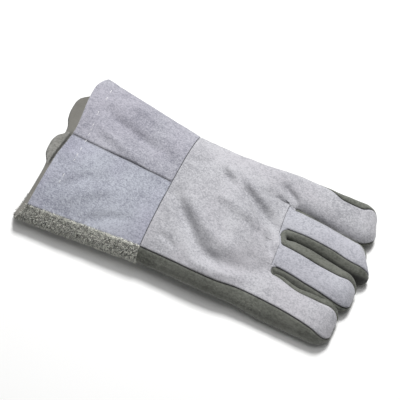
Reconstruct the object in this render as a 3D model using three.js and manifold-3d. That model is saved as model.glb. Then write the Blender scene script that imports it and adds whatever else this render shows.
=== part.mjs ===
// Leather welding gauntlet, right hand, lying on its palm with the thumb tucked under it.
// X runs from the cuff's mouth to the fingertips, Y from the little finger to the index
// finger and Z up. The glove is one skin of sections; each leather panel is a part of it.
import * as THREE from 'three';
import { mergeVertices } from 'three/addons/utils/BufferGeometryUtils.js';
import Module from 'manifold-3d';

// Driving sizes in millimetres
const CUFF_LENGTH = 131;
const HAND_LENGTH = 124;
const MOUTH_WIDTH = 187;
const WRIST_WIDTH = 153;
const KNUCKLE_WIDTH = 155;
const MOUTH_HEIGHT = 31;
const WRIST_HEIGHT = 37;
const KNUCKLE_HEIGHT = 31;
const LEATHER = 1.8;
const TIP_LEATHER = 1.4;
const HEM_WIDTH = 15;
const SEAM_GAP = 0.3;
const THUMB_LENGTH = 72;
const THUMB_WIDTH = 42;
const THUMB_HEIGHT = 17;
const THUMB_MOUTH_LENGTH = 34;
const THUMB_MOUTH_WIDTH = 26;
const NOSE_LENGTH = 17;

// Fingers from the little one to the index: sizes in millimetres, turns in degrees around
// the section, from the index side over the back. mid, lean and crotch are shares of the
// knuckle width; tip_shift is a share of the finger's own width.
const FINGERS = [
  { name: 'little', length: 73, width: 40, height: 23, mid: -0.385, lean: 0.013, tip_shift: 0.04,
    back_near: 124, back_far: 30, palm_far: 325, crotch: -0.215 },
  { name: 'ring', length: 81, width: 34, height: 23, mid: -0.145, lean: 0.026, tip_shift: -0.02,
    back_near: 140, back_far: 42, palm_near: 216, palm_far: 325, crotch: 0.005 },
  { name: 'middle', length: 90, width: 34.5, height: 24, mid: 0.075, lean: 0.052, tip_shift: -0.05,
    back_near: 112, back_far: 36, palm_near: 216, palm_far: 325, crotch: 0.235 },
  { name: 'index', length: 79, width: 43, height: 24, mid: 0.356, lean: 0.016, tip_shift: 0.03,
    back_near: 164, back_far: 50, palm_near: 216, crotch: 0.235 },
];

// Section shape: how square it is, the level of its widest line and how far it reaches under
const SQUARENESS = 2.35;
const WIDEST_LEVEL = 0.42;
const UNDER_REACH = 0.56;
const TIP_LEVEL = 0.3;
const SEAM_TURN_START = 0.35;
const TIP_LINE_SHARE = 0.36;

// Turns where the strip that wraps up the outer side of the little and the index finger starts
const WRAP_LOW = 228;
const WRAP_HIGH = 540 - WRAP_LOW;

// Hand sections: along is a share of the hand's length, mid a share of the wrist's width
const HAND_TABLE = [
  { along: 0.0, mid: -0.036, width: 1.0, near_turn: 147, far_turn: 8 },
  { along: 0.35, mid: -0.036, width: 0.987, near_turn: 144, far_turn: 9 },
  { along: 0.6, mid: -0.026, width: 0.99, near_turn: 137, far_turn: 14 },
  { along: 0.82, mid: -0.013, width: 1.0, near_turn: 128, far_turn: 30 },
  { along: 1.0, mid: -0.003, width: 1.013, near_turn: 124, far_turn: 50 },
];
const STATION_SKEW = 0.055;
const CROTCH_SKEW = 0.115;
const KNUCKLE_START = 0.58;
const LOWER_FROM = 0.45;
const FOLDS_END = 0.85;

// Mouth edge: how far each stretch of it stands back from the middle line, a share of the
// cuff's length, by its turn around the section
const MOUTH_EDGE = [
  { turn: 0, back: 0.0 }, { turn: 26, back: -0.01 }, { turn: 58, back: 0.02 }, { turn: 86, back: 0.07 },
  { turn: 120, back: 0.075 }, { turn: 147, back: 0.07 }, { turn: 180, back: 0.04 },
  { turn: 222, back: 0.03 }, { turn: 250, back: -0.07 }, { turn: 266, back: -0.085 },
  { turn: 276, back: -0.015 }, { turn: 292, back: -0.075 }, { turn: 312, back: -0.06 },
  { turn: 345, back: -0.02 }, { turn: 360, back: 0.0 },
];
const CUFF_SEAM_FINGER = 'middle';

// Folds pressed into the back: along and across are shares of the length and half width
const FOLDS = [
  { part: 'hand', depth: 3.6, spread: 8,
    path: [[0.08, -0.05], [0.27, -0.33], [0.45, -0.56], [0.6, -0.66], [0.93, -0.53]] },
  { part: 'hand', depth: 3.0, spread: 8, path: [[0.44, 0.53], [0.71, 0.27], [0.9, 0.13]] },
  { part: 'hand', depth: 2.0, spread: 6, path: [[0.74, 0.78], [0.94, 0.58]] },
  { part: 'cuff', depth: 3.6, spread: 9, path: [[0.2, 0.56], [0.44, 0.5], [0.63, 0.45], [0.95, 0.36]] },
];

// Lattice: cells along each stretch and across each strip of the skin
const CUFF_ROWS = 9;
const HAND_ROWS = 10;
const GUNN_ROWS = 1;
const FINGER_ROWS = 5;
const NOSE_ROWS = 4;
const BACK_CELLS = 5;
const PALM_CELLS = 4;
const WRAP_CELLS = 4;
const WEB_CELLS = 4;
const WALL_CELLS = 4;
const HEM_ROWS = 2;

const lerp = THREE.MathUtils.lerp;
const smoothstep = THREE.MathUtils.smoothstep;

// Reads a column of a table of rows, with a smooth run between two rows
function read(table, key, column, value) {
  const last = table.length - 1;
  const after = table.findIndex((row) => row[key] >= value);
  if (after === 0) return table[0][column];
  if (after < 0) return table[last][column];
  const [low, high] = [table[after - 1], table[after]];
  return lerp(low[column], high[column], smoothstep(value, low[key], high[key]));
}

// Point of the unit section at a turn: across from -1 to 1, level from 0 to 1
function sectionAt(turn) {
  const angle = THREE.MathUtils.degToRad(turn);
  const rise = Math.sin(angle);
  const run = Math.cos(angle);
  const across = Math.sign(run) * Math.abs(run) ** (2 / SQUARENESS);
  const up = Math.sign(rise) * Math.abs(rise) ** (2 / SQUARENESS);
  const level = up > 0
    ? WIDEST_LEVEL + (1 - WIDEST_LEVEL) * up
    : Math.max(0, WIDEST_LEVEL + UNDER_REACH * up);
  return { across, level };
}

// Turn at which the section's back or underside passes a place across it
function turnAt(across, under) {
  const limited = THREE.MathUtils.clamp(across, -1, 1);
  const run = Math.sign(limited) * Math.abs(limited) ** (SQUARENESS / 2);
  const turn = THREE.MathUtils.radToDeg(Math.acos(run));
  return under ? 360 - turn : turn;
}

function skewed(x, y, skew) {
  return x - skew * y;
}

// Point on a finger's skin; share runs from 0 at its root to 1 at its tip
function fingerPoint(finger, share, turn) {
  const { across, level } = sectionAt(turn);
  const nose = NOSE_LENGTH / finger.length;
  const ease = Math.sqrt(1 - Math.max(0, (share - 1 + nose) / nose) ** 2);
  const half = finger.width / 2 * lerp(TIP_LINE_SHARE, 1, ease);
  const shift = finger.width * finger.tip_shift * share ** 2;
  const flat = finger.height * TIP_LEVEL;
  const z = lerp(flat, finger.height * level, ease);
  const y = KNUCKLE_WIDTH * (finger.mid + finger.lean * z / finger.height) + across * half + shift;
  const root = skewed(CUFF_LENGTH + HAND_LENGTH, y, CROTCH_SKEW);
  const tip = CUFF_LENGTH + HAND_LENGTH - CROTCH_SKEW * KNUCKLE_WIDTH * finger.crotch + finger.length;
  return new THREE.Vector3(lerp(root, tip, share), y, z);
}

// Share of the finger's length at a row: even rows, then close ones round the nose
function fingerShare(finger, row) {
  const straight = 1 - NOSE_LENGTH / finger.length;
  if (row <= FINGER_ROWS) return straight * row / FINGER_ROWS;
  const angle = Math.PI / 2 * (row - FINGER_ROWS) / NOSE_ROWS;
  return row === FINGER_ROWS + NOSE_ROWS ? 1 : straight + (1 - straight) * Math.sin(angle);
}

// Seams run towards the tip's middle line, where the back meets the palm
function seamTurn(rootTurn, tipTurn, share) {
  return lerp(rootTurn, tipTurn, smoothstep(share, SEAM_TURN_START, 1));
}

const FINGER_END = FINGER_ROWS + NOSE_ROWS;
const INNER_TIP = 14;
const TIP_SPREAD = 0.8;

// Turns of a finger's back strip and palm strip at a row
function backTurns(index, share) {
  const finger = FINGERS[index];
  const near = seamTurn(finger.back_near, index === 0 ? 180 : 180 - INNER_TIP, share);
  const far = seamTurn(finger.back_far, index === 3 ? 0 : INNER_TIP, share);
  return Array.from({ length: BACK_CELLS + 1 }, (_, j) => lerp(near, far, j / BACK_CELLS));
}

function palmTurns(index, share) {
  const finger = FINGERS[index];
  const inner = [
    index === 0 ? WRAP_LOW : seamTurn(finger.palm_near, 180 + INNER_TIP, share),
    index === 3 ? WRAP_HIGH : seamTurn(finger.palm_far, 360 - INNER_TIP, share),
  ];
  const turns = Array.from({ length: PALM_CELLS + 1 }, (_, j) => lerp(inner[0], inner[1], j / PALM_CELLS));
  if (index === 0) {
    const seam = seamTurn(finger.back_near, 180, share);
    const wrap = Array.from({ length: WRAP_CELLS }, (_, j) => lerp(seam, inner[0], j / WRAP_CELLS));
    return [...wrap, ...turns];
  }
  if (index === 3) {
    const seam = seamTurn(finger.back_far, 0, share) + 360;
    const wrap = Array.from({ length: WRAP_CELLS }, (_, j) => lerp(inner[1], seam, (j + 1) / WRAP_CELLS));
    return [...turns, ...wrap];
  }
  return turns;
}

// Turns of the wall between two fingers, from the back's seam down to the palm's seam
function wallTurns(index, side, share) {
  const back = backTurns(index, share);
  const palm = palmTurns(index, share);
  const from = side === 'far' ? back[BACK_CELLS] : back[0];
  const to = side === 'far' ? palm[palm.length - 1] - 360 : palm[0];
  return Array.from({ length: WALL_CELLS + 1 }, (_, j) => lerp(from, to, j / WALL_CELLS));
}

// Points of the round crotch between two fingers' seam points
function webPoints(from, to) {
  const radius = from.distanceTo(to) / 2;
  return Array.from({ length: WEB_CELLS - 1 }, (_, m) => {
    const angle = Math.PI * (m + 1) / WEB_CELLS;
    const point = from.clone().lerp(to, (1 - Math.cos(angle)) / 2);
    point.x -= radius * Math.sin(angle);
    return point;
  });
}

// Columns across the hand, each with its point at the crotch line and its turn on the hand
function columns(turnsOf) {
  const list = [];
  FINGERS.forEach((finger, index) => {
    const turns = turnsOf(index, 0);
    const points = turns.map((turn) => fingerPoint(finger, 0, turn));
    if (index > 0) {
      const before = list[list.length - 1].root;
      webPoints(before, points[0]).forEach((root) => list.push({ finger: -1, root }));
    }
    points.forEach((root, strip) => list.push({ finger: index, strip, turn: turns[strip], root }));
  });
  return list;
}

// The thumb lies under the palm, from the index side of the wrist towards the ring finger
const THUMB_ROOT = new THREE.Vector3(CUFF_LENGTH + 0.18 * HAND_LENGTH, 0.1 * WRIST_WIDTH, 0);
const THUMB_TURN = -34;
const thumbWay = new THREE.Vector3(1, 0, 0).applyAxisAngle(
  new THREE.Vector3(0, 0, 1), THREE.MathUtils.degToRad(THUMB_TURN));
const THUMB_CORE = THUMB_LENGTH - THUMB_WIDTH / 2;
const THUMB_FLATNESS = 1.3;
const THUMB_MOUTH_REACH = 0.75;
const THUMB_MOUTH_SHIFT = 0.3;
const LIFT_START = 0.95;
const LIFT_END = 2.15;

// Height to which the thumb lifts the palm at a place
function thumbLift(x, y) {
  const way = new THREE.Vector3(x, y, 0).sub(THUMB_ROOT);
  const along = THREE.MathUtils.clamp(way.dot(thumbWay), 0, THUMB_CORE);
  const away = way.addScaledVector(thumbWay, -along).length();
  const half = THUMB_WIDTH / 2;
  return (THUMB_HEIGHT + SEAM_GAP) * (1 - smoothstep(away, LIFT_START * half, LIFT_END * half));
}

// Depth of the folds at a place on the back
function foldDepth(part, x, y) {
  let depth = 0;
  for (const fold of FOLDS) {
    if (fold.part !== part) continue;
    const points = fold.path.map(([along, across]) => foldPoint(part, along, across));
    let nearest = Infinity;
    for (let k = 1; k < points.length; k += 1) {
      const line = new THREE.Line3(points[k - 1], points[k]);
      const foot = line.closestPointToPoint(new THREE.Vector3(x, y, 0), true, new THREE.Vector3());
      nearest = Math.min(nearest, foot.distanceTo(new THREE.Vector3(x, y, 0)));
    }
    depth += fold.depth * Math.exp(-((nearest / fold.spread) ** 2));
  }
  return depth;
}

function foldPoint(part, along, across) {
  if (part === 'cuff') {
    const width = lerp(MOUTH_WIDTH, WRIST_WIDTH, along);
    const mid = lerp(0, HAND_TABLE[0].mid * WRIST_WIDTH, along);
    return new THREE.Vector3(along * CUFF_LENGTH, mid + across * width / 2, 0);
  }
  const mid = read(HAND_TABLE, 'along', 'mid', along) * WRIST_WIDTH;
  return new THREE.Vector3(CUFF_LENGTH + along * HAND_LENGTH, mid + across * handWidth(along) / 2, 0);
}

function handWidth(along) {
  const base = lerp(WRIST_WIDTH, KNUCKLE_WIDTH, along);
  return base * read(HAND_TABLE, 'along', 'width', along) / lerp(1, HAND_TABLE[4].width, along);
}

// Turn of a column on a hand section, between the two side seams of that section
function handTurn(column, along, ends, under) {
  const near = read(HAND_TABLE, 'along', 'near_turn', along);
  const far = read(HAND_TABLE, 'along', 'far_turn', along);
  if (under && column.finger === 0 && column.turn <= WRAP_LOW) {
    return lerp(near, WRAP_LOW, (column.turn - ends.near) / (WRAP_LOW - ends.near));
  }
  if (under && column.finger === 3 && column.turn >= WRAP_HIGH) {
    const share = (column.turn - WRAP_HIGH) / (ends.far + 360 - WRAP_HIGH);
    return lerp(WRAP_HIGH, far + 360, share);
  }
  if (under) {
    const [low, high] = [sectionAt(WRAP_LOW).across, sectionAt(WRAP_HIGH).across];
    return turnAt(lerp(low, high, column.share), true);
  }
  return turnAt(lerp(sectionAt(near).across, sectionAt(far).across, column.share), false);
}

// Point of a column on the hand's skin; along runs from 0 at the wrist to 1 at the crotch
function handPoint(column, along, ends, under) {
  const { across, level } = sectionAt(handTurn(column, along, ends, under));
  const mid = read(HAND_TABLE, 'along', 'mid', along) * WRIST_WIDTH;
  const height = lerp(WRIST_HEIGHT, KNUCKLE_HEIGHT, smoothstep(along, LOWER_FROM, 1));
  const blend = smoothstep(along, KNUCKLE_START, 1);
  const y = lerp(mid + across * handWidth(along) / 2, column.root.y, blend);
  const flat = lerp(level * height, column.root.z, blend);
  const x = lerp(skewed(CUFF_LENGTH, y, STATION_SKEW), column.root.x, along);
  const lift = thumbLift(x, y) * (1 - smoothstep(along, 0.9, 1));
  const top = smoothstep(level, WIDEST_LEVEL, FOLDS_END) * (1 - smoothstep(along, FOLDS_END, 1));
  const z = lift + flat * (height - lift) / height - top * foldDepth('hand', x, y);
  return new THREE.Vector3(x, y, z);
}

// Point of a column on the cuff's skin; along runs from 0 at the mouth to 1 at the wrist
function cuffPoint(column, along, ends, under) {
  const wrist = handPoint(column, 0, ends, under);
  const turn = handTurn(column, 0, ends, under);
  const { across, level } = sectionAt(turn);
  const edge = read(MOUTH_EDGE, 'turn', 'back', turn > 360 ? turn - 360 : turn) * CUFF_LENGTH;
  const y = lerp(across * MOUTH_WIDTH / 2, wrist.y, along);
  const height = lerp(MOUTH_HEIGHT, WRIST_HEIGHT, along);
  const start = skewed(edge, across * MOUTH_WIDTH / 2, STATION_SKEW);
  const x = lerp(start, wrist.x, along);
  const top = smoothstep(level, WIDEST_LEVEL, FOLDS_END) * (1 - smoothstep(along, FOLDS_END, 1));
  const flat = lerp(level * height, wrist.z, smoothstep(along, 0.7, 1));
  return new THREE.Vector3(x, y, flat - top * foldDepth('cuff', x, y));
}

// Share of the cuff's length at a row, with the hem's inner edge on a row of its own
function cuffShare(row) {
  const hem = HEM_WIDTH / CUFF_LENGTH;
  if (row < HEM_ROWS) return hem * row / (HEM_ROWS - 1);
  const step = LEATHER / CUFF_LENGTH;
  return lerp(hem + step, 1, (row - HEM_ROWS) / (CUFF_ROWS - HEM_ROWS));
}

// Sets each column's share of the way across, measured at the crotch line
function prepare(list, under) {
  const ends = {
    near: FINGERS[0].back_near,
    far: FINGERS[3].back_far,
    low: list.find((column) => !under || column.turn === WRAP_LOW).root.y,
    high: list.findLast((column) => !under || column.turn === WRAP_HIGH).root.y,
  };
  list.forEach((column) => {
    column.share = (column.root.y - ends.low) / (ends.high - ends.low);
  });
  return ends;
}

// Builds the lattice of one side of the glove: rows of points, null where no skin is
function lattice(turnsOf, under) {
  const list = columns(turnsOf);
  const ends = prepare(list, under);
  const rows = [];
  for (let row = 0; row < CUFF_ROWS; row += 1) {
    rows.push(list.map((column) => cuffPoint(column, cuffShare(row), ends, under)));
  }
  for (let row = 0; row < HAND_ROWS; row += 1) {
    rows.push(list.map((column) => handPoint(column, row / HAND_ROWS, ends, under)));
  }
  rows.push(list.map((column) => column.root.clone()));
  for (let row = 1; row <= FINGER_END; row += 1) {
    rows.push(list.map((column) => {
      if (column.finger < 0) return null;
      const finger = FINGERS[column.finger];
      const share = fingerShare(finger, row);
      return fingerPoint(finger, share, turnsOf(column.finger, share)[column.strip]);
    }));
  }
  return { rows, list };
}

// Lattice of the wall between two fingers: out of one finger, round the crotch, along the next
function wallLattice(index) {
  const rows = [];
  const side = (finger, which, row) => {
    const share = fingerShare(FINGERS[finger], row);
    return wallTurns(finger, which, share).map((turn) => fingerPoint(FINGERS[finger], share, turn));
  };
  for (let row = FINGER_END - 1; row >= 0; row -= 1) rows.push(side(index, 'far', row));
  const [from, to] = [side(index, 'far', 0), side(index + 1, 'near', 0)];
  const webs = from.map((point, j) => webPoints(point, to[j]));
  for (let m = 0; m < WEB_CELLS - 1; m += 1) rows.push(webs.map((web) => web[m]));
  for (let row = 0; row < FINGER_END; row += 1) rows.push(side(index + 1, 'near', row));
  return rows;
}

// Corner points of a lattice cell, wound so that its normal points out of the glove
function corners(rows, i, j, flip) {
  const ring = [[i, j], [i + 1, j], [i + 1, j + 1], [i, j + 1]];
  return flip ? ring.reverse() : ring;
}

const normalSums = new Map();
const placeKey = (point) => point.toArray().map((value) => Math.round(value * 500)).join();

// Adds the normals of a lattice's cells to the shared normals at their corners
function shareNormals(rows, flip) {
  for (let i = 0; i + 1 < rows.length; i += 1) {
    for (let j = 0; j + 1 < rows[i].length; j += 1) {
      const ring = corners(rows, i, j, flip).map(([a, b]) => rows[a][b]);
      if (ring.some((point) => !point)) continue;
      const normal = ring[2].clone().sub(ring[0]).cross(ring[3].clone().sub(ring[1]));
      ring.forEach((point) => {
        const key = placeKey(point);
        if (!normalSums.has(key)) normalSums.set(key, new THREE.Vector3());
        normalSums.get(key).add(normal);
      });
    }
  }
}

// Moves a point off the seam by half the seam's gap, towards the cells that the panel has
function seated(rows, has, i, j) {
  const push = [0, 0];
  for (const [di, dj] of [[-1, -1], [-1, 0], [0, -1], [0, 0]]) {
    if (!has(i + di, j + dj)) {
      push[0] -= di < 0 ? -1 : 1;
      push[1] -= dj < 0 ? -1 : 1;
    }
  }
  const point = rows[i][j].clone();
  const step = [Math.sign(push[0]), Math.sign(push[1])];
  for (const [a, b] of [[step[0], 0], [0, step[1]]]) {
    const next = (a || b) ? rows[i + a]?.[j + b] : null;
    if (!next) continue;
    const way = next.clone().sub(rows[i][j]);
    if (way.length() > SEAM_GAP) point.addScaledVector(way.normalize(), SEAM_GAP / 2);
  }
  return point;
}

// Points the normals along a fingertip's closing line forwards and out to its two ends
function turnTipNormals({ rows, list }, turnsOf) {
  list.forEach((column, j) => {
    if (column.finger < 0) return;
    const { across } = sectionAt(turnsOf(column.finger, 1)[column.strip]);
    normalSums.set(placeKey(rows[rows.length - 1][j]), new THREE.Vector3(1, across * TIP_SPREAD, 0));
  });
}

// Orders two points, so that the walls of a seam are split along the same diagonal
function comesFirst(one, other) {
  const apart = one.clone().sub(other).toArray().find((value) => Math.abs(value) > 0.01);
  return apart < 0;
}

// Makes one leather panel: the lattice cells that it has, given their thickness inwards
function panel(rows, flip, has, thickness) {
  const positions = [];
  const triangles = [];
  const numbers = new Map();
  const corner = (i, j, inner) => {
    const key = `${i} ${j} ${inner}`;
    if (!numbers.has(key)) {
      const normal = normalSums.get(placeKey(rows[i][j])).clone().normalize();
      const point = seated(rows, has, i, j).addScaledVector(normal, inner ? -thickness(i, j) : 0);
      numbers.set(key, positions.length / 3);
      positions.push(...point.toArray());
    }
    return numbers.get(key);
  };
  const quad = (a, b, c, d) => triangles.push(a, b, c, a, c, d);
  for (let i = 0; i + 1 < rows.length; i += 1) {
    for (let j = 0; j + 1 < rows[i].length; j += 1) {
      if (!has(i, j)) continue;
      const ring = corners(rows, i, j, flip);
      quad(...ring.map(([a, b]) => corner(a, b, false)));
      quad(...[...ring].reverse().map(([a, b]) => corner(a, b, true)));
      ring.forEach(([a, b], k) => {
        const [c, d] = ring[(k + 1) % 4];
        const across = a === c ? [a === i ? i - 1 : i + 1, j] : [i, b === j ? j - 1 : j + 1];
        if (has(...across)) return;
        const strip = [corner(a, b, false), corner(a, b, true), corner(c, d, true), corner(c, d, false)];
        if (comesFirst(rows[c][d], rows[a][b])) strip.push(strip.shift());
        quad(...strip);
      });
    }
  }
  const geometry = new THREE.BufferGeometry();
  geometry.setAttribute('position', new THREE.Float32BufferAttribute(positions, 3));
  geometry.setIndex(triangles);
  return geometry;
}

const wasm = await Module();
wasm.setup();

function toSolid(geometry) {
  const bare = geometry.clone();
  bare.deleteAttribute('normal');
  bare.deleteAttribute('uv');
  const merged = mergeVertices(bare, 1e-4);
  return new wasm.Manifold(new wasm.Mesh({
    numProp: 3,
    vertProperties: new Float32Array(merged.attributes.position.array),
    triVerts: new Uint32Array(merged.index.array),
  }));
}

function toGeometry(solid) {
  const mesh = solid.getMesh();
  const geometry = new THREE.BufferGeometry();
  geometry.setAttribute('position', new THREE.BufferAttribute(mesh.vertProperties, 3));
  geometry.setIndex(new THREE.BufferAttribute(mesh.triVerts, 1));
  return geometry;
}

// Flattened thumb form, with its sole on the floor, as large as inset leaves it
function thumbForm(inset) {
  const radius = THUMB_WIDTH / 2 - inset;
  const geometry = new THREE.CapsuleGeometry(radius, THUMB_CORE, 6, 20, 4);
  geometry.rotateZ(-Math.PI / 2);
  geometry.translate(THUMB_CORE / 2, 0, 0);
  const place = geometry.attributes.position;
  const half = THUMB_HEIGHT / 2 - inset;
  for (let k = 0; k < place.count; k += 1) {
    const rise = THREE.MathUtils.clamp(place.getZ(k) / radius * THUMB_FLATNESS, -1, 1);
    place.setZ(k, half * rise + THUMB_HEIGHT / 2);
  }
  geometry.rotateZ(THREE.MathUtils.degToRad(THUMB_TURN));
  geometry.translate(THUMB_ROOT.x, THUMB_ROOT.y, 0);
  return geometry;
}

// Upright oval column over the thumb's root, where the thumb opens into the hand
function thumbMouth(low) {
  const oval = new THREE.Shape();
  oval.absellipse(0, 0, THUMB_MOUTH_LENGTH / 2, THUMB_MOUTH_WIDTH / 2, 0, Math.PI * 2);
  const depth = WRIST_HEIGHT * THUMB_MOUTH_REACH - low;
  const geometry = new THREE.ExtrudeGeometry(oval, { depth, bevelEnabled: false, curveSegments: 9 });
  geometry.translate(THUMB_MOUTH_LENGTH * THUMB_MOUTH_SHIFT, 0, low);
  geometry.rotateZ(THREE.MathUtils.degToRad(THUMB_TURN));
  geometry.translate(THUMB_ROOT.x, THUMB_ROOT.y, 0);
  return geometry;
}

const back = lattice(backTurns, false);
const palm = lattice(palmTurns, true);
const walls = [0, 1, 2].map(wallLattice);
shareNormals(back.rows, false);
shareNormals(palm.rows, true);
walls.forEach((rows) => shareNormals(rows, true));
turnTipNormals(back, backTurns);
turnTipNormals(palm, palmTurns);

const WRIST_ROW = CUFF_ROWS;
const CROTCH_ROW = CUFF_ROWS + HAND_ROWS;
const GUNN_ROW = CROTCH_ROW - GUNN_ROWS;
const END_ROW = CROTCH_ROW + FINGER_END;

// Which finger or web a back cell lies on, as its left and right columns say
function stripOf(list, j) {
  const [left, right] = [list[j], list[j + 1]];
  if (!left || !right) return null;
  if (left.finger >= 0 && left.finger === right.finger) return FINGERS[left.finger].name;
  return 'web';
}

const seamColumn = back.list.findIndex((column) => FINGERS[column.finger]?.name === CUFF_SEAM_FINGER);
const ringStart = back.list.findIndex((column) => FINGERS[column.finger]?.name === 'ring');
const middleEnd = back.list.findLastIndex((column) => FINGERS[column.finger]?.name === 'middle');

const isCell = ({ rows, list }, i, j) => i >= 0 && i < END_ROW && j >= 0 && j + 1 < list.length
  && Boolean(rows[i][j] && rows[i][j + 1] && rows[i + 1][j] && rows[i + 1][j + 1]);
const isGunn = (i, j) => i >= GUNN_ROW && j >= ringStart && j < middleEnd;
const wallHas = (i, j) => i >= 0 && j >= 0 && j < WALL_CELLS && i + 1 < walls[0].length;

// Leather gets thinner over the tips, and the hem is two layers thick
const leatherAt = (i) => (i > CROTCH_ROW + FINGER_ROWS ? TIP_LEATHER : LEATHER);
const cuffLeatherAt = (i) => (i < HEM_ROWS ? 2 * LEATHER : LEATHER);
const wallLeatherAt = (i) => {
  const fromTip = Math.min(i, walls[0].length - 1 - i);
  return fromTip < NOSE_ROWS - 1 ? TIP_LEATHER : LEATHER;
};

const MATERIALS = {
  back_suede: new THREE.MeshStandardMaterial({ color: 0xc6c6ca, roughness: 0.95, metalness: 0 }),
  finger_suede: new THREE.MeshStandardMaterial({ color: 0xc4c6d2, roughness: 0.95, metalness: 0 }),
  cuff_suede: new THREE.MeshStandardMaterial({ color: 0xb4b6c4, roughness: 0.95, metalness: 0 }),
  palm_leather: new THREE.MeshStandardMaterial({ color: 0x85887a, roughness: 0.8, metalness: 0 }),
  rough_split: new THREE.MeshStandardMaterial({ color: 0x84857a, roughness: 1, metalness: 0 }),
};

const gauntlet = new THREE.Group();

function addPiece(name, geometry, material) {
  const mesh = new THREE.Mesh(geometry, MATERIALS[material]);
  mesh.name = name;
  gauntlet.add(mesh);
}

const inCuff = (i) => i < WRIST_ROW;
const backPanel = (has, thickness) => panel(
  back.rows, false, (i, j) => isCell(back, i, j) && has(i, j), thickness);
const palmPanel = (has, thickness) => panel(
  palm.rows, true, (i, j) => isCell(palm, i, j) && has(i, j), thickness);

addPiece('cuff_back_upper', backPanel((i, j) => inCuff(i) && j >= seamColumn, cuffLeatherAt), 'cuff_suede');
addPiece('cuff_back_lower', backPanel((i, j) => inCuff(i) && j < seamColumn, cuffLeatherAt), 'cuff_suede');
addPiece('cuff_palm', palmPanel(inCuff, () => LEATHER), 'rough_split');
addPiece('hand_back', backPanel((i, j) => !inCuff(i) && !isGunn(i, j), leatherAt), 'back_suede');
addPiece('middle_ring_back', backPanel(isGunn, leatherAt), 'finger_suede');

const palmSheet = toSolid(palmPanel((i) => !inCuff(i), leatherAt));
const thumbShell = toSolid(thumbForm(0)).subtract(toSolid(thumbForm(LEATHER)));
const mouthLow = THUMB_HEIGHT / 2;
addPiece('palm', toGeometry(palmSheet.subtract(toSolid(thumbMouth(mouthLow)))), 'palm_leather');
addPiece('thumb', toGeometry(thumbShell.subtract(toSolid(thumbMouth(mouthLow)))), 'palm_leather');

walls.forEach((rows, index) => {
  const name = `fourchette_${FINGERS[index].name}_${FINGERS[index + 1].name}`;
  addPiece(name, panel(rows, true, wallHas, wallLeatherAt), 'palm_leather');
});

// The origin is the middle of the glove's footprint, on the floor
const reach = new THREE.Box3().setFromObject(gauntlet);
const middle = reach.getCenter(new THREE.Vector3());
gauntlet.children.forEach((mesh) => mesh.geometry.translate(-middle.x, -middle.y, -reach.min.z));

export default gauntlet;
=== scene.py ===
"""The looks of a leather welding gauntlet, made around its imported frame.

All lengths are in metres. X runs from the cuff's mouth to the fingertips, Y from the little
finger to the index finger, and Z up from the floor that the glove lies on.
"""
import logging
import math
from dataclasses import dataclass, field
from enum import Enum
from typing import ClassVar

import bmesh
import bpy
import numpy as np
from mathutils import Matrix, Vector, kdtree, noise
from mathutils.bvhtree import BVHTree


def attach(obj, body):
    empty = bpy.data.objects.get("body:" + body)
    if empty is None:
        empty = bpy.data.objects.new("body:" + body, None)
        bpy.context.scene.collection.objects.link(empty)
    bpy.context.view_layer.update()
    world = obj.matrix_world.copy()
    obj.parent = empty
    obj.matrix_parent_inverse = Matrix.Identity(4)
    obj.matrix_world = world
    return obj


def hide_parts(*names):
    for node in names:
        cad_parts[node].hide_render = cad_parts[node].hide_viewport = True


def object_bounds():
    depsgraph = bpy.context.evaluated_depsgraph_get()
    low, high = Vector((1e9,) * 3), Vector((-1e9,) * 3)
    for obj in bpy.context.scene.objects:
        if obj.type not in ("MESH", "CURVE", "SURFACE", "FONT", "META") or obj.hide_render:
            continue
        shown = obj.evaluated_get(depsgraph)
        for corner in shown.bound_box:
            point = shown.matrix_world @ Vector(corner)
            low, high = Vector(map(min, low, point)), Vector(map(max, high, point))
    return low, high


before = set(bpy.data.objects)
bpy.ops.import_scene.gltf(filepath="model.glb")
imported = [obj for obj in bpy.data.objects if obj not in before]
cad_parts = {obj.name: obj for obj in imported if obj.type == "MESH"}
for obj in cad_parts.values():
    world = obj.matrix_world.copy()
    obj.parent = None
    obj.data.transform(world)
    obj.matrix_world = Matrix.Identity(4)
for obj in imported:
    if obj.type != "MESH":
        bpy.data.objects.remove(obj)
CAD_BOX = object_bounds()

logger = logging.getLogger("gauntlet")

MM = 0.001


def mix(low: np.ndarray, high: np.ndarray, share: np.ndarray) -> np.ndarray:
    """Returns the value at a share of the way from low to high."""
    return low + (high - low) * share


def smooth(value: np.ndarray, low: np.ndarray, high: np.ndarray) -> np.ndarray:
    """Returns a smooth step from 0 at low to 1 at high."""
    share = np.clip((np.asarray(value, float) - low) / (high - low), 0.0, 1.0)
    return share * share * (3.0 - 2.0 * share)


def through(keys: np.ndarray, values: np.ndarray, places: np.ndarray) -> np.ndarray:
    """Returns the heights of a smooth curve that runs through points without overshooting.

    Args:
        keys: The points' places, in rising order.
        values: The points' heights.
        places: Where the curve is read.
    """
    keys, values = np.asarray(keys, float), np.asarray(values, float)
    slope = np.diff(values) / np.diff(keys)
    product, total = slope[1:] * slope[:-1], slope[1:] + slope[:-1]
    inner = np.where(product > 0, 2 * product / np.where(total == 0, 1.0, total), 0.0)
    tangent = np.concatenate([slope[:1], inner, slope[-1:]])
    held = np.clip(places, keys[0], keys[-1])
    after = np.clip(np.searchsorted(keys, held), 1, len(keys) - 1)
    before = after - 1
    length = keys[after] - keys[before]
    share = (held - keys[before]) / length
    bend = tangent[before] * (1 - share) - tangent[after] * share
    return mix(values[before], values[after], smooth(share, 0.0, 1.0)) + length * share * (1 - share) * bend


def unit(vectors: np.ndarray) -> np.ndarray:
    """Returns vectors of length one, and leaves those of no length as they are."""
    length = np.linalg.norm(vectors, axis=-1, keepdims=True)
    return vectors / np.where(length > 1e-12, length, 1.0)


class Part(Enum):
    """A stretch of the glove along X."""

    CUFF = 0
    HAND = 1
    FINGER = 2


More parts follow.
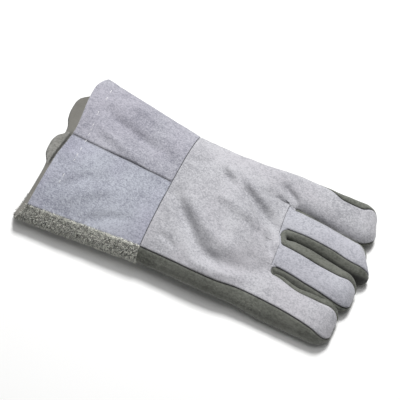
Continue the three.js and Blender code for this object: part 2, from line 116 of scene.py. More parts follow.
class Side(Enum):
    """The half of the skin that a lattice covers."""

    BACK = "back"
    PALM = "palm"


@dataclass(frozen=True)
class Push:
    """How far a finger's side is pushed across at its root, and where along it that fades out."""

    reach: float = 0.0
    start: float = 0.0
    end: float = 1.0

    def at(self, share: np.ndarray) -> np.ndarray:
        """Returns the push at a share of the finger's length."""
        return self.reach * (1 - smooth(share, self.start, self.end))


@dataclass(frozen=True)
class Finger:
    """A finger's lengths, its place across the knuckles and its seams' turns in degrees.

    mid, lean and crotch are shares of the knuckle width, tip_shift a share of the width.
    slant is how far the tip's far corner is cut back.
    The back's seams have a turn for each of SEAM_SHARES.
    """

    name: str
    length: float
    width: float
    height: float
    mid: float
    lean: float
    tip_shift: float
    back_near: tuple[float, ...]
    back_far: tuple[float, ...]
    palm_near: float
    palm_far: float
    crotch: float
    near_push: Push = Push()
    far_push: Push = Push()
    slant: float = 0.0


@dataclass(frozen=True)
class HandStation:
    """A section of the hand: along, mid and width are shares, the turns are in degrees."""

    along: float
    mid: float
    width: float
    near_turn: float
    far_turn: float


@dataclass(frozen=True)
class EdgePoint:
    """How far the mouth's edge stands back at a turn, as a share of the cuff's length."""

    turn: float
    back: float


@dataclass(frozen=True)
class Fold:
    """A fold of the back: its depth, its spread and its path in shares along and across.

    A negative depth is a ridge. A tapered fold fades out at both ends.
    """

    part: Part
    depth: float
    spread: float
    path: tuple[tuple[float, float], ...]
    tapered: bool = True


# Shares of a finger's length at which its seams' turns are given
SEAM_SHARES = (0.0, 0.25, 0.5, 0.75, 1.0)

FINGERS = (
    Finger("little", 73 * MM, 40 * MM, 23 * MM, -0.385, 0.013, 0.04,
           (110, 113, 119, 130, 158), (34, 32, 38, 42, 18), 228, 325, -0.215,
           far_push=Push(7 * MM, 0.0, 0.42)),
    Finger("ring", 81 * MM, 34 * MM, 23 * MM, -0.145, 0.026, -0.02,
           (132, 130, 136, 147, 162), (56, 60, 64, 62, 30), 216, 325, 0.005,
           near_push=Push(4 * MM, 0.0, 0.42), far_push=Push(7.5 * MM, 0.1, 0.95)),
    Finger("middle", 90 * MM, 34.5 * MM, 24 * MM, 0.075, 0.052, -0.05,
           (124, 118, 117, 122, 118), (32, 22, 20, 20, 14), 216, 325, 0.235,
           near_push=Push(7.5 * MM, 0.1, 0.95), far_push=Push(5.5 * MM, 0.0, 0.9), slant=9 * MM),
    Finger("index", 79 * MM, 43 * MM, 24 * MM, 0.356, 0.016, 0.03,
           (166, 178, 178, 178, 172), (18, 34, 67, 70, 12), 216, 312, 0.235,
           near_push=Push(5.5 * MM, 0.0, 0.9), slant=5 * MM),
)

HAND_STATIONS = (
    HandStation(0.0, -0.036, 1.0, 148, 8),
    HandStation(0.35, -0.036, 0.987, 148.5, 8),
    HandStation(0.6, -0.026, 0.99, 149, 9),
    HandStation(0.82, -0.013, 1.0, 145, 11),
    HandStation(1.0, -0.003, 1.013, 142, 12),
)

MOUTH_EDGE = (
    EdgePoint(0, 0.084), EdgePoint(15, 0.06), EdgePoint(26, 0.044), EdgePoint(40, 0.028),
    EdgePoint(58, 0.044), EdgePoint(72, 0.072), EdgePoint(86, 0.092), EdgePoint(100, 0.07),
    EdgePoint(120, 0.066), EdgePoint(148, 0.062), EdgePoint(180, 0.0), EdgePoint(205, -0.045),
    EdgePoint(244, -0.052), EdgePoint(255, -0.056), EdgePoint(261, -0.066), EdgePoint(267, -0.116),
    EdgePoint(272, -0.126), EdgePoint(276, -0.11), EdgePoint(280, -0.062), EdgePoint(284, -0.07),
    EdgePoint(291, -0.108), EdgePoint(298, -0.124), EdgePoint(305, -0.126), EdgePoint(312, -0.11),
    EdgePoint(320, -0.035), EdgePoint(332, 0.03), EdgePoint(345, 0.06), EdgePoint(360, 0.084),
)

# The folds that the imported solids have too
MAIN_FOLDS = (
    Fold(Part.HAND, 3.6 * MM, 8 * MM,
         ((0.08, -0.05), (0.27, -0.33), (0.45, -0.56), (0.6, -0.66), (0.93, -0.53)), False),
    Fold(Part.HAND, 3.0 * MM, 8 * MM, ((0.44, 0.53), (0.71, 0.27), (0.9, 0.13)), False),
    Fold(Part.HAND, 2.0 * MM, 6 * MM, ((0.74, 0.78), (0.94, 0.58)), False),
    Fold(Part.CUFF, 3.6 * MM, 9 * MM, ((0.2, 0.56), (0.44, 0.5), (0.63, 0.45), (0.95, 0.36)), False),
)

# Finer folds and ridges that only the leather's surface has
FINE_FOLDS = (
    Fold(Part.HAND, -2.0 * MM, 3.6 * MM, ((0.26, 0.66), (0.34, 0.62), (0.40, 0.56), (0.46, 0.47))),
    Fold(Part.HAND, -2.3 * MM, 5.0 * MM, ((0.46, 0.6), (0.58, 0.5), (0.71, 0.39), (0.85, 0.27))),
    Fold(Part.HAND, 1.5 * MM, 3.0 * MM, ((0.32, 0.55), (0.4, 0.47), (0.5, 0.38))),
    Fold(Part.HAND, 1.6 * MM, 4.6 * MM, ((0.48, 0.49), (0.6, 0.37), (0.73, 0.24), (0.9, 0.11))),
    Fold(Part.HAND, -1.8 * MM, 6.0 * MM, ((0.3, 0.2), (0.46, 0.17), (0.62, 0.1), (0.76, 0.02))),
    Fold(Part.HAND, 2.0 * MM, 3.6 * MM, ((0.72, 0.82), (0.82, 0.72), (0.9, 0.64), (0.98, 0.55))),
    Fold(Part.HAND, -1.5 * MM, 3.6 * MM, ((0.74, 0.66), (0.84, 0.58), (0.97, 0.47))),
    Fold(Part.HAND, 2.2 * MM, 5.5 * MM,
         ((0.06, -0.02), (0.16, -0.18), (0.27, -0.34), (0.43, -0.56), (0.6, -0.65), (0.8, -0.6))),
    Fold(Part.HAND, -1.7 * MM, 6.0 * MM,
         ((0.1, 0.12), (0.25, -0.1), (0.42, -0.3), (0.6, -0.42), (0.8, -0.4))),
    Fold(Part.HAND, -1.6 * MM, 5.0 * MM, ((0.36, -0.76), (0.55, -0.8), (0.75, -0.76), (0.9, -0.7))),
    Fold(Part.HAND, 1.0 * MM, 3.2 * MM, ((0.6, 0.04), (0.72, -0.03), (0.86, -0.1))),
    Fold(Part.HAND, 0.9 * MM, 4.0 * MM, ((0.03, 0.5), (0.12, 0.56), (0.22, 0.66))),
    Fold(Part.HAND, 0.8 * MM, 3.0 * MM, ((0.08, -0.62), (0.2, -0.66), (0.32, -0.74))),
    Fold(Part.HAND, 2.2 * MM, 3.6 * MM, ((0.84, 0.02), (0.89, -0.08), (0.93, -0.18), (0.97, -0.28))),
    Fold(Part.CUFF, 1.9 * MM, 5.0 * MM, ((0.22, 0.56), (0.4, 0.5), (0.6, 0.45), (0.82, 0.38))),
    Fold(Part.CUFF, -1.8 * MM, 6.0 * MM, ((0.12, 0.38), (0.38, 0.28), (0.6, 0.18), (0.8, 0.12))),
    Fold(Part.CUFF, 1.1 * MM, 3.6 * MM, ((0.3, 0.42), (0.45, 0.34), (0.6, 0.29))),
    Fold(Part.CUFF, 1.5 * MM, 6.5 * MM, ((0.14, -0.7), (0.28, -0.5), (0.42, -0.32), (0.56, -0.2))),
    Fold(Part.CUFF, -1.5 * MM, 7.5 * MM, ((0.3, -0.74), (0.5, -0.48), (0.72, -0.3))),
    Fold(Part.CUFF, 1.2 * MM, 6.0 * MM, ((0.5, -0.88), (0.7, -0.7), (0.92, -0.58))),
    Fold(Part.CUFF, -1.0 * MM, 4.5 * MM, ((0.3, 0.86), (0.5, 0.8), (0.72, 0.76))),
)


@dataclass(frozen=True)
class GloveSizes:
    """The driving sizes of the glove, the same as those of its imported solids."""

    cuff_length: float = 131 * MM
    hand_length: float = 124 * MM
    mouth_width: float = 187 * MM
    wrist_width: float = 153 * MM
    knuckle_width: float = 155 * MM
    mouth_height: float = 31 * MM
    wrist_height: float = 37 * MM
    knuckle_height: float = 31 * MM
    leather: float = 1.8 * MM
    hem_width: float = 15 * MM
    seam_gap: float = 0.3 * MM
    nose_length: float = 17 * MM
    thumb_length: float = 72 * MM
    thumb_width: float = 42 * MM
    thumb_height: float = 17 * MM
    thumb_mouth_length: float = 34 * MM
    thumb_mouth_width: float = 26 * MM
    squareness: float = 2.35
    widest_level: float = 0.42
    under_reach: float = 0.56
    tip_level: float = 0.3
    tip_line_share: float = 0.36
    seam_turn_start: float = 0.35
    station_skew: float = 0.055
    crotch_skew: float = 0.115
    knuckle_start: float = 0.6
    knuckle_softness: float = 7 * MM
    web_start: float = 0.9
    web_depth: float = 0.8
    lower_from: float = 0.45
    folds_end: float = 0.85
    wrap_low: float = 228.0
    inner_tip: float = 14.0
    gunn_start: float = 0.93
    gunn_step: float = 4.6 * MM
    gunn_ease: float = 0.14
    thumb_turn: float = -34.0
    thumb_root_along: float = 0.18
    thumb_root_across: float = 0.1
    lift_start: float = 0.95
    lift_end: float = 2.15
    thumb_flatness: float = 1.3

    @property
    def wrap_high(self) -> float:
        """Turn at which the strip up the index finger's outer side starts."""
        return 540.0 - self.wrap_low

    @property
    def thumb_core(self) -> float:
        """Length of the thumb without its round tip."""
        return self.thumb_length - self.thumb_width / 2


def read_rows(rows: tuple, key: str, column: str, value: np.ndarray) -> np.ndarray:
    """Reads a column of a table, with a smooth run between two rows.

    Args:
        rows: The table's rows, in the order of key.
        key: The name of the field that the value is looked up in.
        column: The name of the field that is read.
        value: Where to read it.

    Returns:
        The column's value at each place.
    """
    return through([getattr(row, key) for row in rows], [getattr(row, column) for row in rows], value)


def graded(length: float, step: float, low: bool = True, high: bool = True) -> np.ndarray:
    """Returns places from 0 to 1 that lie close together at the ends that are seams.

    Args:
        length: The real length of the stretch.
        step: The real distance between two places in its middle.
        low: Whether the places lie close together at the start.
        high: Whether they lie close together at the end.
    """
    close = np.array([0.0, 0.3, 0.7, 1.2, 1.9]) * MM
    start = close if low else np.array([0.0])
    stop = close if high else np.array([0.0])
    count = max(2, round((length - start[-1] - stop[-1]) / step))
    middle = np.linspace(start[-1], length - stop[-1], count + 1)[1:-1]
    return np.concatenate([start, middle, (length - stop)[::-1]]) / length


@dataclass
class Columns:
    """The columns of a lattice: what each lies on, and where it meets the crotch line."""

    finger: np.ndarray
    strip: np.ndarray
    turn: np.ndarray
    root: np.ndarray
    share: np.ndarray = field(default_factory=lambda: np.zeros(0))
    setback: np.ndarray = field(default_factory=lambda: np.zeros(0))
    soft_height: np.ndarray = field(default_factory=lambda: np.zeros(0))


@dataclass
class Stations:
    """The rows of a lattice: part, progress along it and depth under the outer face."""

    part: np.ndarray
    along: np.ndarray
    depth: np.ndarray

    def first(self, part: Part) -> int:
        """Returns the first row of a part."""
        return int(np.argmax(self.part == part.value))


@dataclass
class Lattice:
    """Points and outward normals of a stretch of skin, rows by columns."""

    points: np.ndarray
    normals: np.ndarray
    flip: bool
    stations: Stations | None = None
    columns: Columns | None = None
    web: tuple[int, int] = (0, 0)
    places: np.ndarray | None = None


class Skin:
    """The glove's outer skin: sections of the cuff and hand that split into the fingers."""

    COLUMN_STEP = 1.15 * MM
    ROW_STEP = 1.15 * MM
    WEB_CELLS = 10
    NOSE_ROWS = 16
    WALL_END = 1.97

    def __init__(self, sizes: GloveSizes) -> None:
        """Places the skin in the frame, by the longest fingertip and the box's middle.

        Args:
            sizes: The glove's driving sizes.
        """
        self.sizes = sizes
        low, high = CAD_BOX
        tip = max(self._tip_x(finger) for finger in FINGERS) - sizes.seam_gap / 2
        self.origin = np.array([high.x - tip, (low.y + high.y) / 2, low.z])
        self.folds = [(fold, self._fold_line(fold)) for fold in (*MAIN_FOLDS, *FINE_FOLDS)]
        self.main_folds = self.folds[:len(MAIN_FOLDS)]
        self.fine_folds = self.folds[len(MAIN_FOLDS):]

    def _tip_x(self, finger: Finger) -> float:
        """Returns how far along X a finger's tip lies."""
        size = self.sizes
        crotch = size.crotch_skew * size.knuckle_width * finger.crotch
        return size.cuff_length + size.hand_length - crotch + finger.length

    def section(self, turn: np.ndarray) -> tuple[np.ndarray, np.ndarray]:
        """Returns how far across, -1 to 1, and how high, 0 to 1, the section lies at a turn."""
        size = self.sizes
        angle = np.radians(turn)
        power = 2 / size.squareness
        across = np.sign(np.cos(angle)) * np.abs(np.cos(angle)) ** power
        up = np.sign(np.sin(angle)) * np.abs(np.sin(angle)) ** power
        over = size.widest_level + (1 - size.widest_level) * up
        under = np.maximum(0.0, size.widest_level + size.under_reach * up)
        return across, np.where(up > 0, over, under)

    def turn_at(self, across: np.ndarray, side: Side) -> np.ndarray:
        """Returns the turn at which the back or the underside passes a place across."""
        held = np.clip(across, -1, 1)
        run = np.sign(held) * np.abs(held) ** (self.sizes.squareness / 2)
        turn = np.degrees(np.arccos(run))
        return turn if side is Side.BACK else 360 - turn

    def finger_point(self, index: int, share: np.ndarray, turn: np.ndarray) -> np.ndarray:
        """Returns points on a finger's skin.

        Args:
            index: The finger's number, from the little one.
            share: How far along the finger, 0 at its root and 1 at its tip.
            turn: The turn around the finger's section.
        """
        size, finger = self.sizes, FINGERS[index]
        across, level = self.section(turn)
        nose = size.nose_length / finger.length
        ease = np.sqrt(np.maximum(0.0, 1 - np.maximum(0.0, (share - 1 + nose) / nose) ** 2))
        half = finger.width / 2 * mix(size.tip_line_share, 1.0, ease)
        shift = finger.width * finger.tip_shift * share ** 2
        z = mix(finger.height * size.tip_level, finger.height * level, ease)
        middle = size.knuckle_width * (finger.mid + finger.lean * z / finger.height)
        pushed = np.where(across > 0, finger.far_push.at(share), finger.near_push.at(share)) * np.abs(across)
        y = middle + across * half + shift + pushed
        root = size.cuff_length + size.hand_length - size.crotch_skew * y
        cut = smooth(share, 1 - 2.6 * nose, 1.0) * smooth(across, -0.8, 1.0)
        x = mix(root, self._tip_x(finger), share) - finger.slant * cut
        return np.stack(np.broadcast_arrays(x, y, z), -1)

    def finger_share(self, index: int, progress: np.ndarray) -> np.ndarray:
        """Returns the share of a finger's length at a progress of 0 to 1, then 1 to 2 round its nose."""
        straight = 1 - self.sizes.nose_length / FINGERS[index].length
        round_nose = straight + (1 - straight) * np.sin(np.clip(progress - 1, 0, 1) * math.pi / 2)
        return np.where(progress <= 1, straight * progress, round_nose)

    def seam_turn(self, root: float, tip: float, share: np.ndarray) -> np.ndarray:
        """Returns a seam's turn on its way from a finger's root to its tip."""
        return mix(root, tip, smooth(share, self.sizes.seam_turn_start, 1.0))

    def back_turn(self, index: int, share: np.ndarray, strip: np.ndarray) -> np.ndarray:
        """Returns the turn of a place across a finger's back, 0 and 1 at its two seams."""
        finger = FINGERS[index]
        near = through(SEAM_SHARES, finger.back_near, share)
        far = through(SEAM_SHARES, finger.back_far, share)
        return mix(near, far, strip)

    def palm_turn(self, index: int, share: np.ndarray, strip: np.ndarray) -> np.ndarray:
        """Returns the turn of a place across a finger's underside.

        The strip runs from 0 to 1, from -1 where it wraps up the little finger's outer side,
        and on to 2 where it wraps up the index finger's.
        """
        size, finger = self.sizes, FINGERS[index]
        near = size.wrap_low if index == 0 else self.seam_turn(finger.palm_near, 180 + size.inner_tip, share)
        far = size.wrap_high if index == 3 else self.seam_turn(finger.palm_far, 360 - size.inner_tip, share)
        near_seam = through(SEAM_SHARES, finger.back_near, share)
        far_seam = through(SEAM_SHARES, finger.back_far, share) + 360
        under = mix(near, far, strip)
        up_far_side = np.where(strip > 1, mix(far, far_seam, strip - 1), under)
        return np.where(strip < 0, mix(near_seam, near, 1 + strip), up_far_side)

    def turn_on_finger(self, side: Side, index: int, share: np.ndarray, strip: np.ndarray) -> np.ndarray:
        """Returns the turn of a place across a finger, on its back or its underside."""
        return (self.back_turn if side is Side.BACK else self.palm_turn)(index, share, strip)

    def strip_places(self, side: Side, index: int) -> np.ndarray:
        """Returns the places of the columns across a finger's strip."""
        width = FINGERS[index].width
        places = graded(width, self.COLUMN_STEP)
        if side is Side.PALM and index == 0:
            wrap = graded(width / 2, self.COLUMN_STEP, high=False) - 1
            return np.concatenate([wrap, graded(width, self.COLUMN_STEP, low=False)[1:]])
        if side is Side.PALM and index == 3:
            wrap = graded(width / 2, self.COLUMN_STEP, low=False) + 1
            return np.concatenate([graded(width, self.COLUMN_STEP, high=False), wrap[1:]])
        return places

    def web_points(self, start: np.ndarray, end: np.ndarray) -> np.ndarray:
        """Returns the points of the round crotch between two seam points."""
        angle = np.arange(1, self.WEB_CELLS)[:, None] * math.pi / self.WEB_CELLS
        points = mix(start, end, (1 - np.cos(angle)) / 2)
        points[:, 0] -= np.linalg.norm(end - start) / 2 * self.sizes.web_depth * np.sin(angle[:, 0])
        return points

    def columns(self, side: Side) -> Columns:
        """Returns the columns of the back's or the palm's lattice."""
        size = self.sizes
        fingers, strips, turns, roots = [], [], [], []
        for index in range(len(FINGERS)):
            places = self.strip_places(side, index)
            turn = self.turn_on_finger(side, index, np.zeros(1), places)
            points = self.finger_point(index, np.zeros(1), turn)
            if index > 0:
                web = self.web_points(roots[-1][-1], points[0])
                fingers.append(np.full(len(web), -1))
                strips.append(np.full(len(web), 0.5))
                turns.append(np.full(len(web), 270.0))
                roots.append(web)
            fingers.append(np.full(len(places), index))
            strips.append(places)
            turns.append(turn)
            roots.append(points)
        made = Columns(*(np.concatenate(part) for part in (fingers, strips, turns, roots)))
        y = made.root[:, 1]
        low, high = y[0], y[-1]
        if side is Side.PALM:
            low = y[(made.finger == 0) & (np.abs(made.turn - size.wrap_low) < 0.01)][0]
            high = y[(made.finger == 3) & (np.abs(made.turn - size.wrap_high) < 0.01)][-1]
        made.share = (y - low) / (high - low)
        made.setback = size.cuff_length + size.hand_length - size.crotch_skew * y - made.root[:, 0]
        made.soft_height = made.root[:, 2]
        if side is Side.BACK:
            made.soft_height = self._softened(made.root, size.knuckle_softness)
        return made

    @staticmethod
    def _softened(root: np.ndarray, spread: float) -> np.ndarray:
        """Returns the knuckle line's heights without its sharp valleys, and the same at both ends."""
        place = np.concatenate([[0.0], np.cumsum(np.linalg.norm(np.diff(root, axis=0), axis=1))])
        weight = np.gradient(place)
        height, total = np.zeros(len(place)), np.zeros(len(place))
        images = ((place, root[:, 2]), (-place, 2 * root[0, 2] - root[:, 2]),
                  (2 * place[-1] - place, 2 * root[-1, 2] - root[:, 2]))
        for there, value in images:
            pull = np.exp(-(((place[:, None] - there[None, :]) / spread) ** 2)) * weight
            height += pull @ value
            total += pull.sum(axis=1)
        return height / total

    def hand_width(self, along: np.ndarray) -> np.ndarray:
        """Returns the hand's width at a share of its length."""
        size = self.sizes
        base = mix(size.wrist_width, size.knuckle_width, along)
        share = read_rows(HAND_STATIONS, "along", "width", along)
        return base * share / mix(1.0, HAND_STATIONS[-1].width, along)

    def hand_mid(self, along: np.ndarray) -> np.ndarray:
        """Returns where the hand's middle line lies across, at a share of its length."""
        return read_rows(HAND_STATIONS, "along", "mid", along) * self.sizes.wrist_width

    def _fold_line(self, fold: Fold) -> np.ndarray:
        """Returns points on a smooth curve through a fold's path, in the skin's own X and Y."""
        size = self.sizes
        places = []
        for along, across in fold.path:
            if fold.part is Part.CUFF:
                width = mix(size.mouth_width, size.wrist_width, along)
                mid = mix(0.0, HAND_STATIONS[0].mid * size.wrist_width, along)
                places.append((along * size.cuff_length, mid + across * width / 2))
            else:
                y = float(self.hand_mid(along)) + across * float(self.hand_width(along)) / 2
                places.append((size.cuff_length + along * size.hand_length, y))
        path = np.array(places)
        padded = np.concatenate([2 * path[:1] - path[1:2], path, 2 * path[-1:] - path[-2:-1]])
        steps = np.linspace(0, 1, 7)[:, None]
        curve = []
        for a, b, c, d in zip(padded, padded[1:], padded[2:], padded[3:]):
            square, cube = steps ** 2, steps ** 3
            curve.append(0.5 * (2 * b + (c - a) * steps + (2 * a - 5 * b + 4 * c - d) * square
                                + (3 * b - a - 3 * c + d) * cube))
        return np.concatenate(curve)

    def fold_depth(self, part: Part, x: np.ndarray, y: np.ndarray, folds: list) -> np.ndarray:
        """Returns how deep the folds press the back in at each place.

        Args:
            part: The stretch of the glove that the places lie on.
            x: Places along the skin.
            y: Places across the skin.
            folds: The folds, each with the line that it follows.
        """
        total = np.zeros(np.broadcast(x, y).shape)
        spot = np.stack(np.broadcast_arrays(x, y), -1)
        for fold, line in folds:
            if fold.part is not part:
                continue
            nearest = np.full(total.shape, np.inf)
            progress = np.zeros(total.shape)
            for k, (start, end) in enumerate(zip(line, line[1:])):
                way = end - start
                reach = float(way @ way)
                if reach < 1e-12:
                    continue
                share = np.clip(((spot - start) @ way) / reach, 0, 1)
                gap = np.linalg.norm(spot - start - share[..., None] * way, axis=-1)
                closer = gap < nearest
                nearest = np.where(closer, gap, nearest)
                progress = np.where(closer, (k + share) / (len(line) - 1), progress)
            fade = smooth(progress, 0, 0.3) * (1 - smooth(progress, 0.7, 1)) if fold.tapered else 1.0
            total += fold.depth * fade * np.exp(-((nearest / fold.spread) ** 2))
        return total

    def thumb_lift(self, x: np.ndarray, y: np.ndarray) -> np.ndarray:
        """Returns how high the thumb lifts the palm at each place."""
        size = self.sizes
        root_x, root_y = self.thumb_root()
        turn = math.radians(size.thumb_turn)
        way = np.array([math.cos(turn), math.sin(turn)])
        from_root = np.stack([x - root_x, y - root_y], -1)
        along = np.clip(from_root @ way, 0, size.thumb_core)
        away = np.linalg.norm(from_root - along[..., None] * way, axis=-1)
        half = size.thumb_width / 2
        fade = 1 - smooth(away, size.lift_start * half, size.lift_end * half)
        return (size.thumb_height + size.seam_gap) * fade

    def thumb_root(self) -> tuple[float, float]:
        """Returns the thumb's root, in the skin's own X and Y."""
        size = self.sizes
        return (size.cuff_length + size.thumb_root_along * size.hand_length,
                size.thumb_root_across * size.wrist_width)

    def hand_turn(self, columns: Columns, along: np.ndarray, side: Side) -> np.ndarray:
        """Returns each column's turn around the hand's section."""
        size = self.sizes
        near = read_rows(HAND_STATIONS, "along", "near_turn", along)
        far = read_rows(HAND_STATIONS, "along", "far_turn", along)
        if side is Side.BACK:
            low, high = self.section(near)[0], self.section(far)[0]
            return self.turn_at(mix(low, high, columns.share), side)
        low, high = self.section(size.wrap_low)[0], self.section(size.wrap_high)[0]
        under = self.turn_at(mix(low, high, columns.share), side)
        near_share = (columns.turn - FINGERS[0].back_near[0]) / (size.wrap_low - FINGERS[0].back_near[0])
        far_share = (columns.turn - size.wrap_high) / (FINGERS[3].back_far[0] + 360 - size.wrap_high)
        wraps_near = (columns.finger == 0) & (columns.strip < 0)
        wraps_far = (columns.finger == 3) & (columns.strip > 1)
        turn = np.where(wraps_near, mix(near, size.wrap_low, near_share), under)
        return np.where(wraps_far, mix(size.wrap_high, far + 360, far_share), turn)

    def _fold_share(self, level: np.ndarray, along: np.ndarray) -> np.ndarray:
        """Returns how fully the folds show: on the back alone, and not at the stretch's end."""
        size = self.sizes
        return smooth(level, size.widest_level, size.folds_end) * (1 - smooth(along, size.folds_end, 1))

    def _gunn_shift(self, y: np.ndarray, along: np.ndarray, last: np.ndarray) -> np.ndarray:
        """Returns how far the cross seam steps towards the ring finger's tip at a place."""
        size = self.sizes
        start = size.gunn_start - size.gunn_ease
        rise = np.where(along < size.gunn_start, smooth(along, start, size.gunn_start), 1 - last)
        width = size.knuckle_width
        inner = 1 - smooth(y, -0.04 * width, 0.05 * width)
        outer = smooth(y, -0.31 * width, -0.25 * width)
        return size.gunn_step * inner * outer * rise

    def hand_point(self, columns: Columns, along: np.ndarray, side: Side) -> np.ndarray:
        """Returns points on the hand's skin, along from 0 at the wrist to 1 at the crotch."""
        size = self.sizes
        across, level = self.section(self.hand_turn(columns, along, side))
        height = mix(size.wrist_height, size.knuckle_height, smooth(along, size.lower_from, 1))
        blend = smooth(along, size.knuckle_start, 1)
        y = mix(self.hand_mid(along) + across * self.hand_width(along) / 2, columns.root[:, 1], blend)
        root_height = mix(columns.soft_height, columns.root[:, 2], smooth(along, size.web_start, 1))
        flat = mix(level * height, root_height, blend)
        straight = columns.root[:, 0] + columns.setback
        last = np.clip((along - size.gunn_start) / (1 - size.gunn_start), 0, 1)
        x = mix(size.cuff_length - size.station_skew * y, straight, along) - columns.setback * last
        if side is Side.BACK:
            x = x + self._gunn_shift(y, along, last)
        lift = self.thumb_lift(x, y) * (1 - smooth(along, 0.9, 1))
        depth = self._fold_share(level, along) * self.fold_depth(Part.HAND, x, y, self.main_folds)
        z = lift + flat * (height - lift) / height - depth
        return np.stack(np.broadcast_arrays(x, y, z), -1)

    def cuff_point(self, columns: Columns, along: np.ndarray, side: Side) -> np.ndarray:
        """Returns points on the cuff's skin, along from 0 at the mouth to 1 at the wrist."""
        size = self.sizes
        start = np.zeros((1, 1))
        wrist = self.hand_point(columns, start, side)
        turn = self.hand_turn(columns, start, side)
        across, level = self.section(turn)
        wound = np.where(turn > 360, turn - 360, turn)
        edge = read_rows(MOUTH_EDGE, "turn", "back", wound) * size.cuff_length
        y = mix(across * size.mouth_width / 2, wrist[..., 1], along)
        height = mix(size.mouth_height, size.wrist_height, along)
        begin = edge - size.station_skew * across * size.mouth_width / 2
        x = mix(begin, wrist[..., 0], along)
        depth = self._fold_share(level, along) * self.fold_depth(Part.CUFF, x, y, self.main_folds)
        z = mix(level * height, wrist[..., 2], smooth(along, 0.7, 1)) - depth
        return np.stack(np.broadcast_arrays(x, y, z), -1)

    def part_points(self, part: Part, columns: Columns, along: np.ndarray, side: Side) -> np.ndarray:
        """Returns the points of some rows of one part, nan where the part has no skin."""
        if part is Part.CUFF:
            return self.cuff_point(columns, along[:, None], side)
        if part is Part.HAND:
            return self.hand_point(columns, along[:, None], side)
        points = np.full((len(along), len(columns.finger), 3), np.nan)
        for index in range(len(FINGERS)):
            mine = columns.finger == index
            share = self.finger_share(index, along)[:, None]
            turn = self.turn_on_finger(side, index, share, columns.strip[mine])
            points[:, mine] = self.finger_point(index, share, turn)
        return points

    def stations(self, side: Side) -> Stations:
        """Returns the rows of a lattice, with a turned-in hem before the back's first row."""
        size = self.sizes
        fold = size.leather
        rest = size.cuff_length - fold
        outer = fold + rest * graded(rest, self.ROW_STEP, low=False)[:-1]
        if side is Side.BACK:
            angle = np.linspace(math.pi, 0, 9)[:-1]
            inner = np.arange(size.hem_width, 2 * fold, -1.8 * MM)
            place = np.concatenate([inner, fold - fold * np.sin(angle), outer])
            depth = np.concatenate([np.full(len(inner), 2 * fold), fold - fold * np.cos(angle), outer * 0])
        else:
            place = np.concatenate([np.array([0.0, 0.3, 0.8]) * MM, outer[outer > 1.2 * MM]])
            depth = place * 0
        gunn = size.gunn_start
        hand = np.concatenate([
            graded(size.hand_length * gunn, self.ROW_STEP)[:-1] * gunn,
            gunn + graded(size.hand_length * (1 - gunn), self.ROW_STEP)[:-1] * (1 - gunn)])
        straight = graded(max(finger.length for finger in FINGERS), self.ROW_STEP, high=False)
        finger = np.concatenate([straight, 1 + np.arange(1, self.NOSE_ROWS + 1) / self.NOSE_ROWS])
        parts = [(Part.CUFF, place / size.cuff_length, depth), (Part.HAND, hand, hand * 0),
                 (Part.FINGER, finger, finger * 0)]
        return Stations(np.concatenate([np.full(len(along), part.value) for part, along, _ in parts]),
                        np.concatenate([along for _, along, _ in parts]),
                        np.concatenate([depth for _, _, depth in parts]))

    def nose_normals(self, index: int, points: np.ndarray, normals: np.ndarray,
                     progress: np.ndarray) -> np.ndarray:
        """Turns the normals round a fingertip away from its middle, where its skin closes on a line."""
        size, finger = self.sizes, FINGERS[index]
        straight = 1 - size.nose_length / finger.length
        middle = self.finger_point(index, np.array([straight]), np.array([90.0]))[0]
        middle[1] = (size.knuckle_width * (finger.mid + finger.lean * size.tip_level)
                     + finger.width * finger.tip_shift * straight ** 2)
        middle[2] = finger.height * size.tip_level
        outward = unit((points - middle) * np.array([1.0, 0.6, 1.0]))
        share = smooth(progress, 1.3, 1.85)[:, None, None]
        return unit(mix(normals, outward, share))

    def lattice(self, side: Side) -> Lattice:
        """Returns the lattice of the back or of the palm side, in the frame."""
        columns, stations = self.columns(side), self.stations(side)
        points = np.full((len(stations.part), len(columns.finger), 3), np.nan)
        normals = points.copy()
        for part in Part:
            rows = stations.part == part.value
            along = stations.along[rows]
            here = self.part_points(part, columns, along, side)
            top = 2.0 if part is Part.FINGER else 1.0
            after = self.part_points(part, columns, np.minimum(along + 0.002, top), side)
            before = self.part_points(part, columns, np.maximum(along - 0.002, 0.0), side)
            across = np.full(here.shape, np.nan)
            strips = [columns.finger == index for index in range(len(FINGERS))]
            for mine in (strips if part is Part.FINGER else [columns.finger > -2]):
                across[:, mine] = np.gradient(here[:, mine], axis=1)
            normal = unit(np.cross(after - before, across))
            normal = normal if side is Side.BACK else -normal
            if part is Part.FINGER:
                for index, mine in enumerate(strips):
                    normal[:, mine] = self.nose_normals(index, here[:, mine], normal[:, mine], along)
            normals[rows] = normal
            points[rows] = here
        if side is Side.PALM:
            crotch = stations.first(Part.FINGER)
            points[crotch] = columns.root
        else:
            points[stations.first(Part.FINGER)] = columns.root
        crotch = stations.first(Part.FINGER)
        bare = np.isnan(normals[crotch, :, 0])
        normals[crotch, bare] = normals[crotch - 1, bare]
        points = points - normals * stations.depth[:, None, None]
        return Lattice(points + self.origin, normals, side is Side.PALM, stations, columns)

    def wall(self, index: int) -> Lattice:
        """Returns the lattice of the strip between a finger and the next, round the crotch."""
        progress = np.concatenate([
            graded(FINGERS[index].length, self.ROW_STEP, low=False, high=False),
            1 + np.arange(1, self.NOSE_ROWS) / self.NOSE_ROWS, [self.WALL_END]])
        height = FINGERS[index].height * 0.6
        places = graded(height, 1.0 * MM)

        def flank(finger: int, far: bool) -> np.ndarray:
            """Returns the rows of one finger's flank, from its root to its tip."""
            share = self.finger_share(finger, progress)[:, None]
            back = self.back_turn(finger, share, np.array([1.0 if far else 0.0]))
            palm = self.palm_turn(finger, share, np.array([1.0 if far else 0.0])) - (360 if far else 0)
            return self.finger_point(finger, share, mix(back, palm, places))

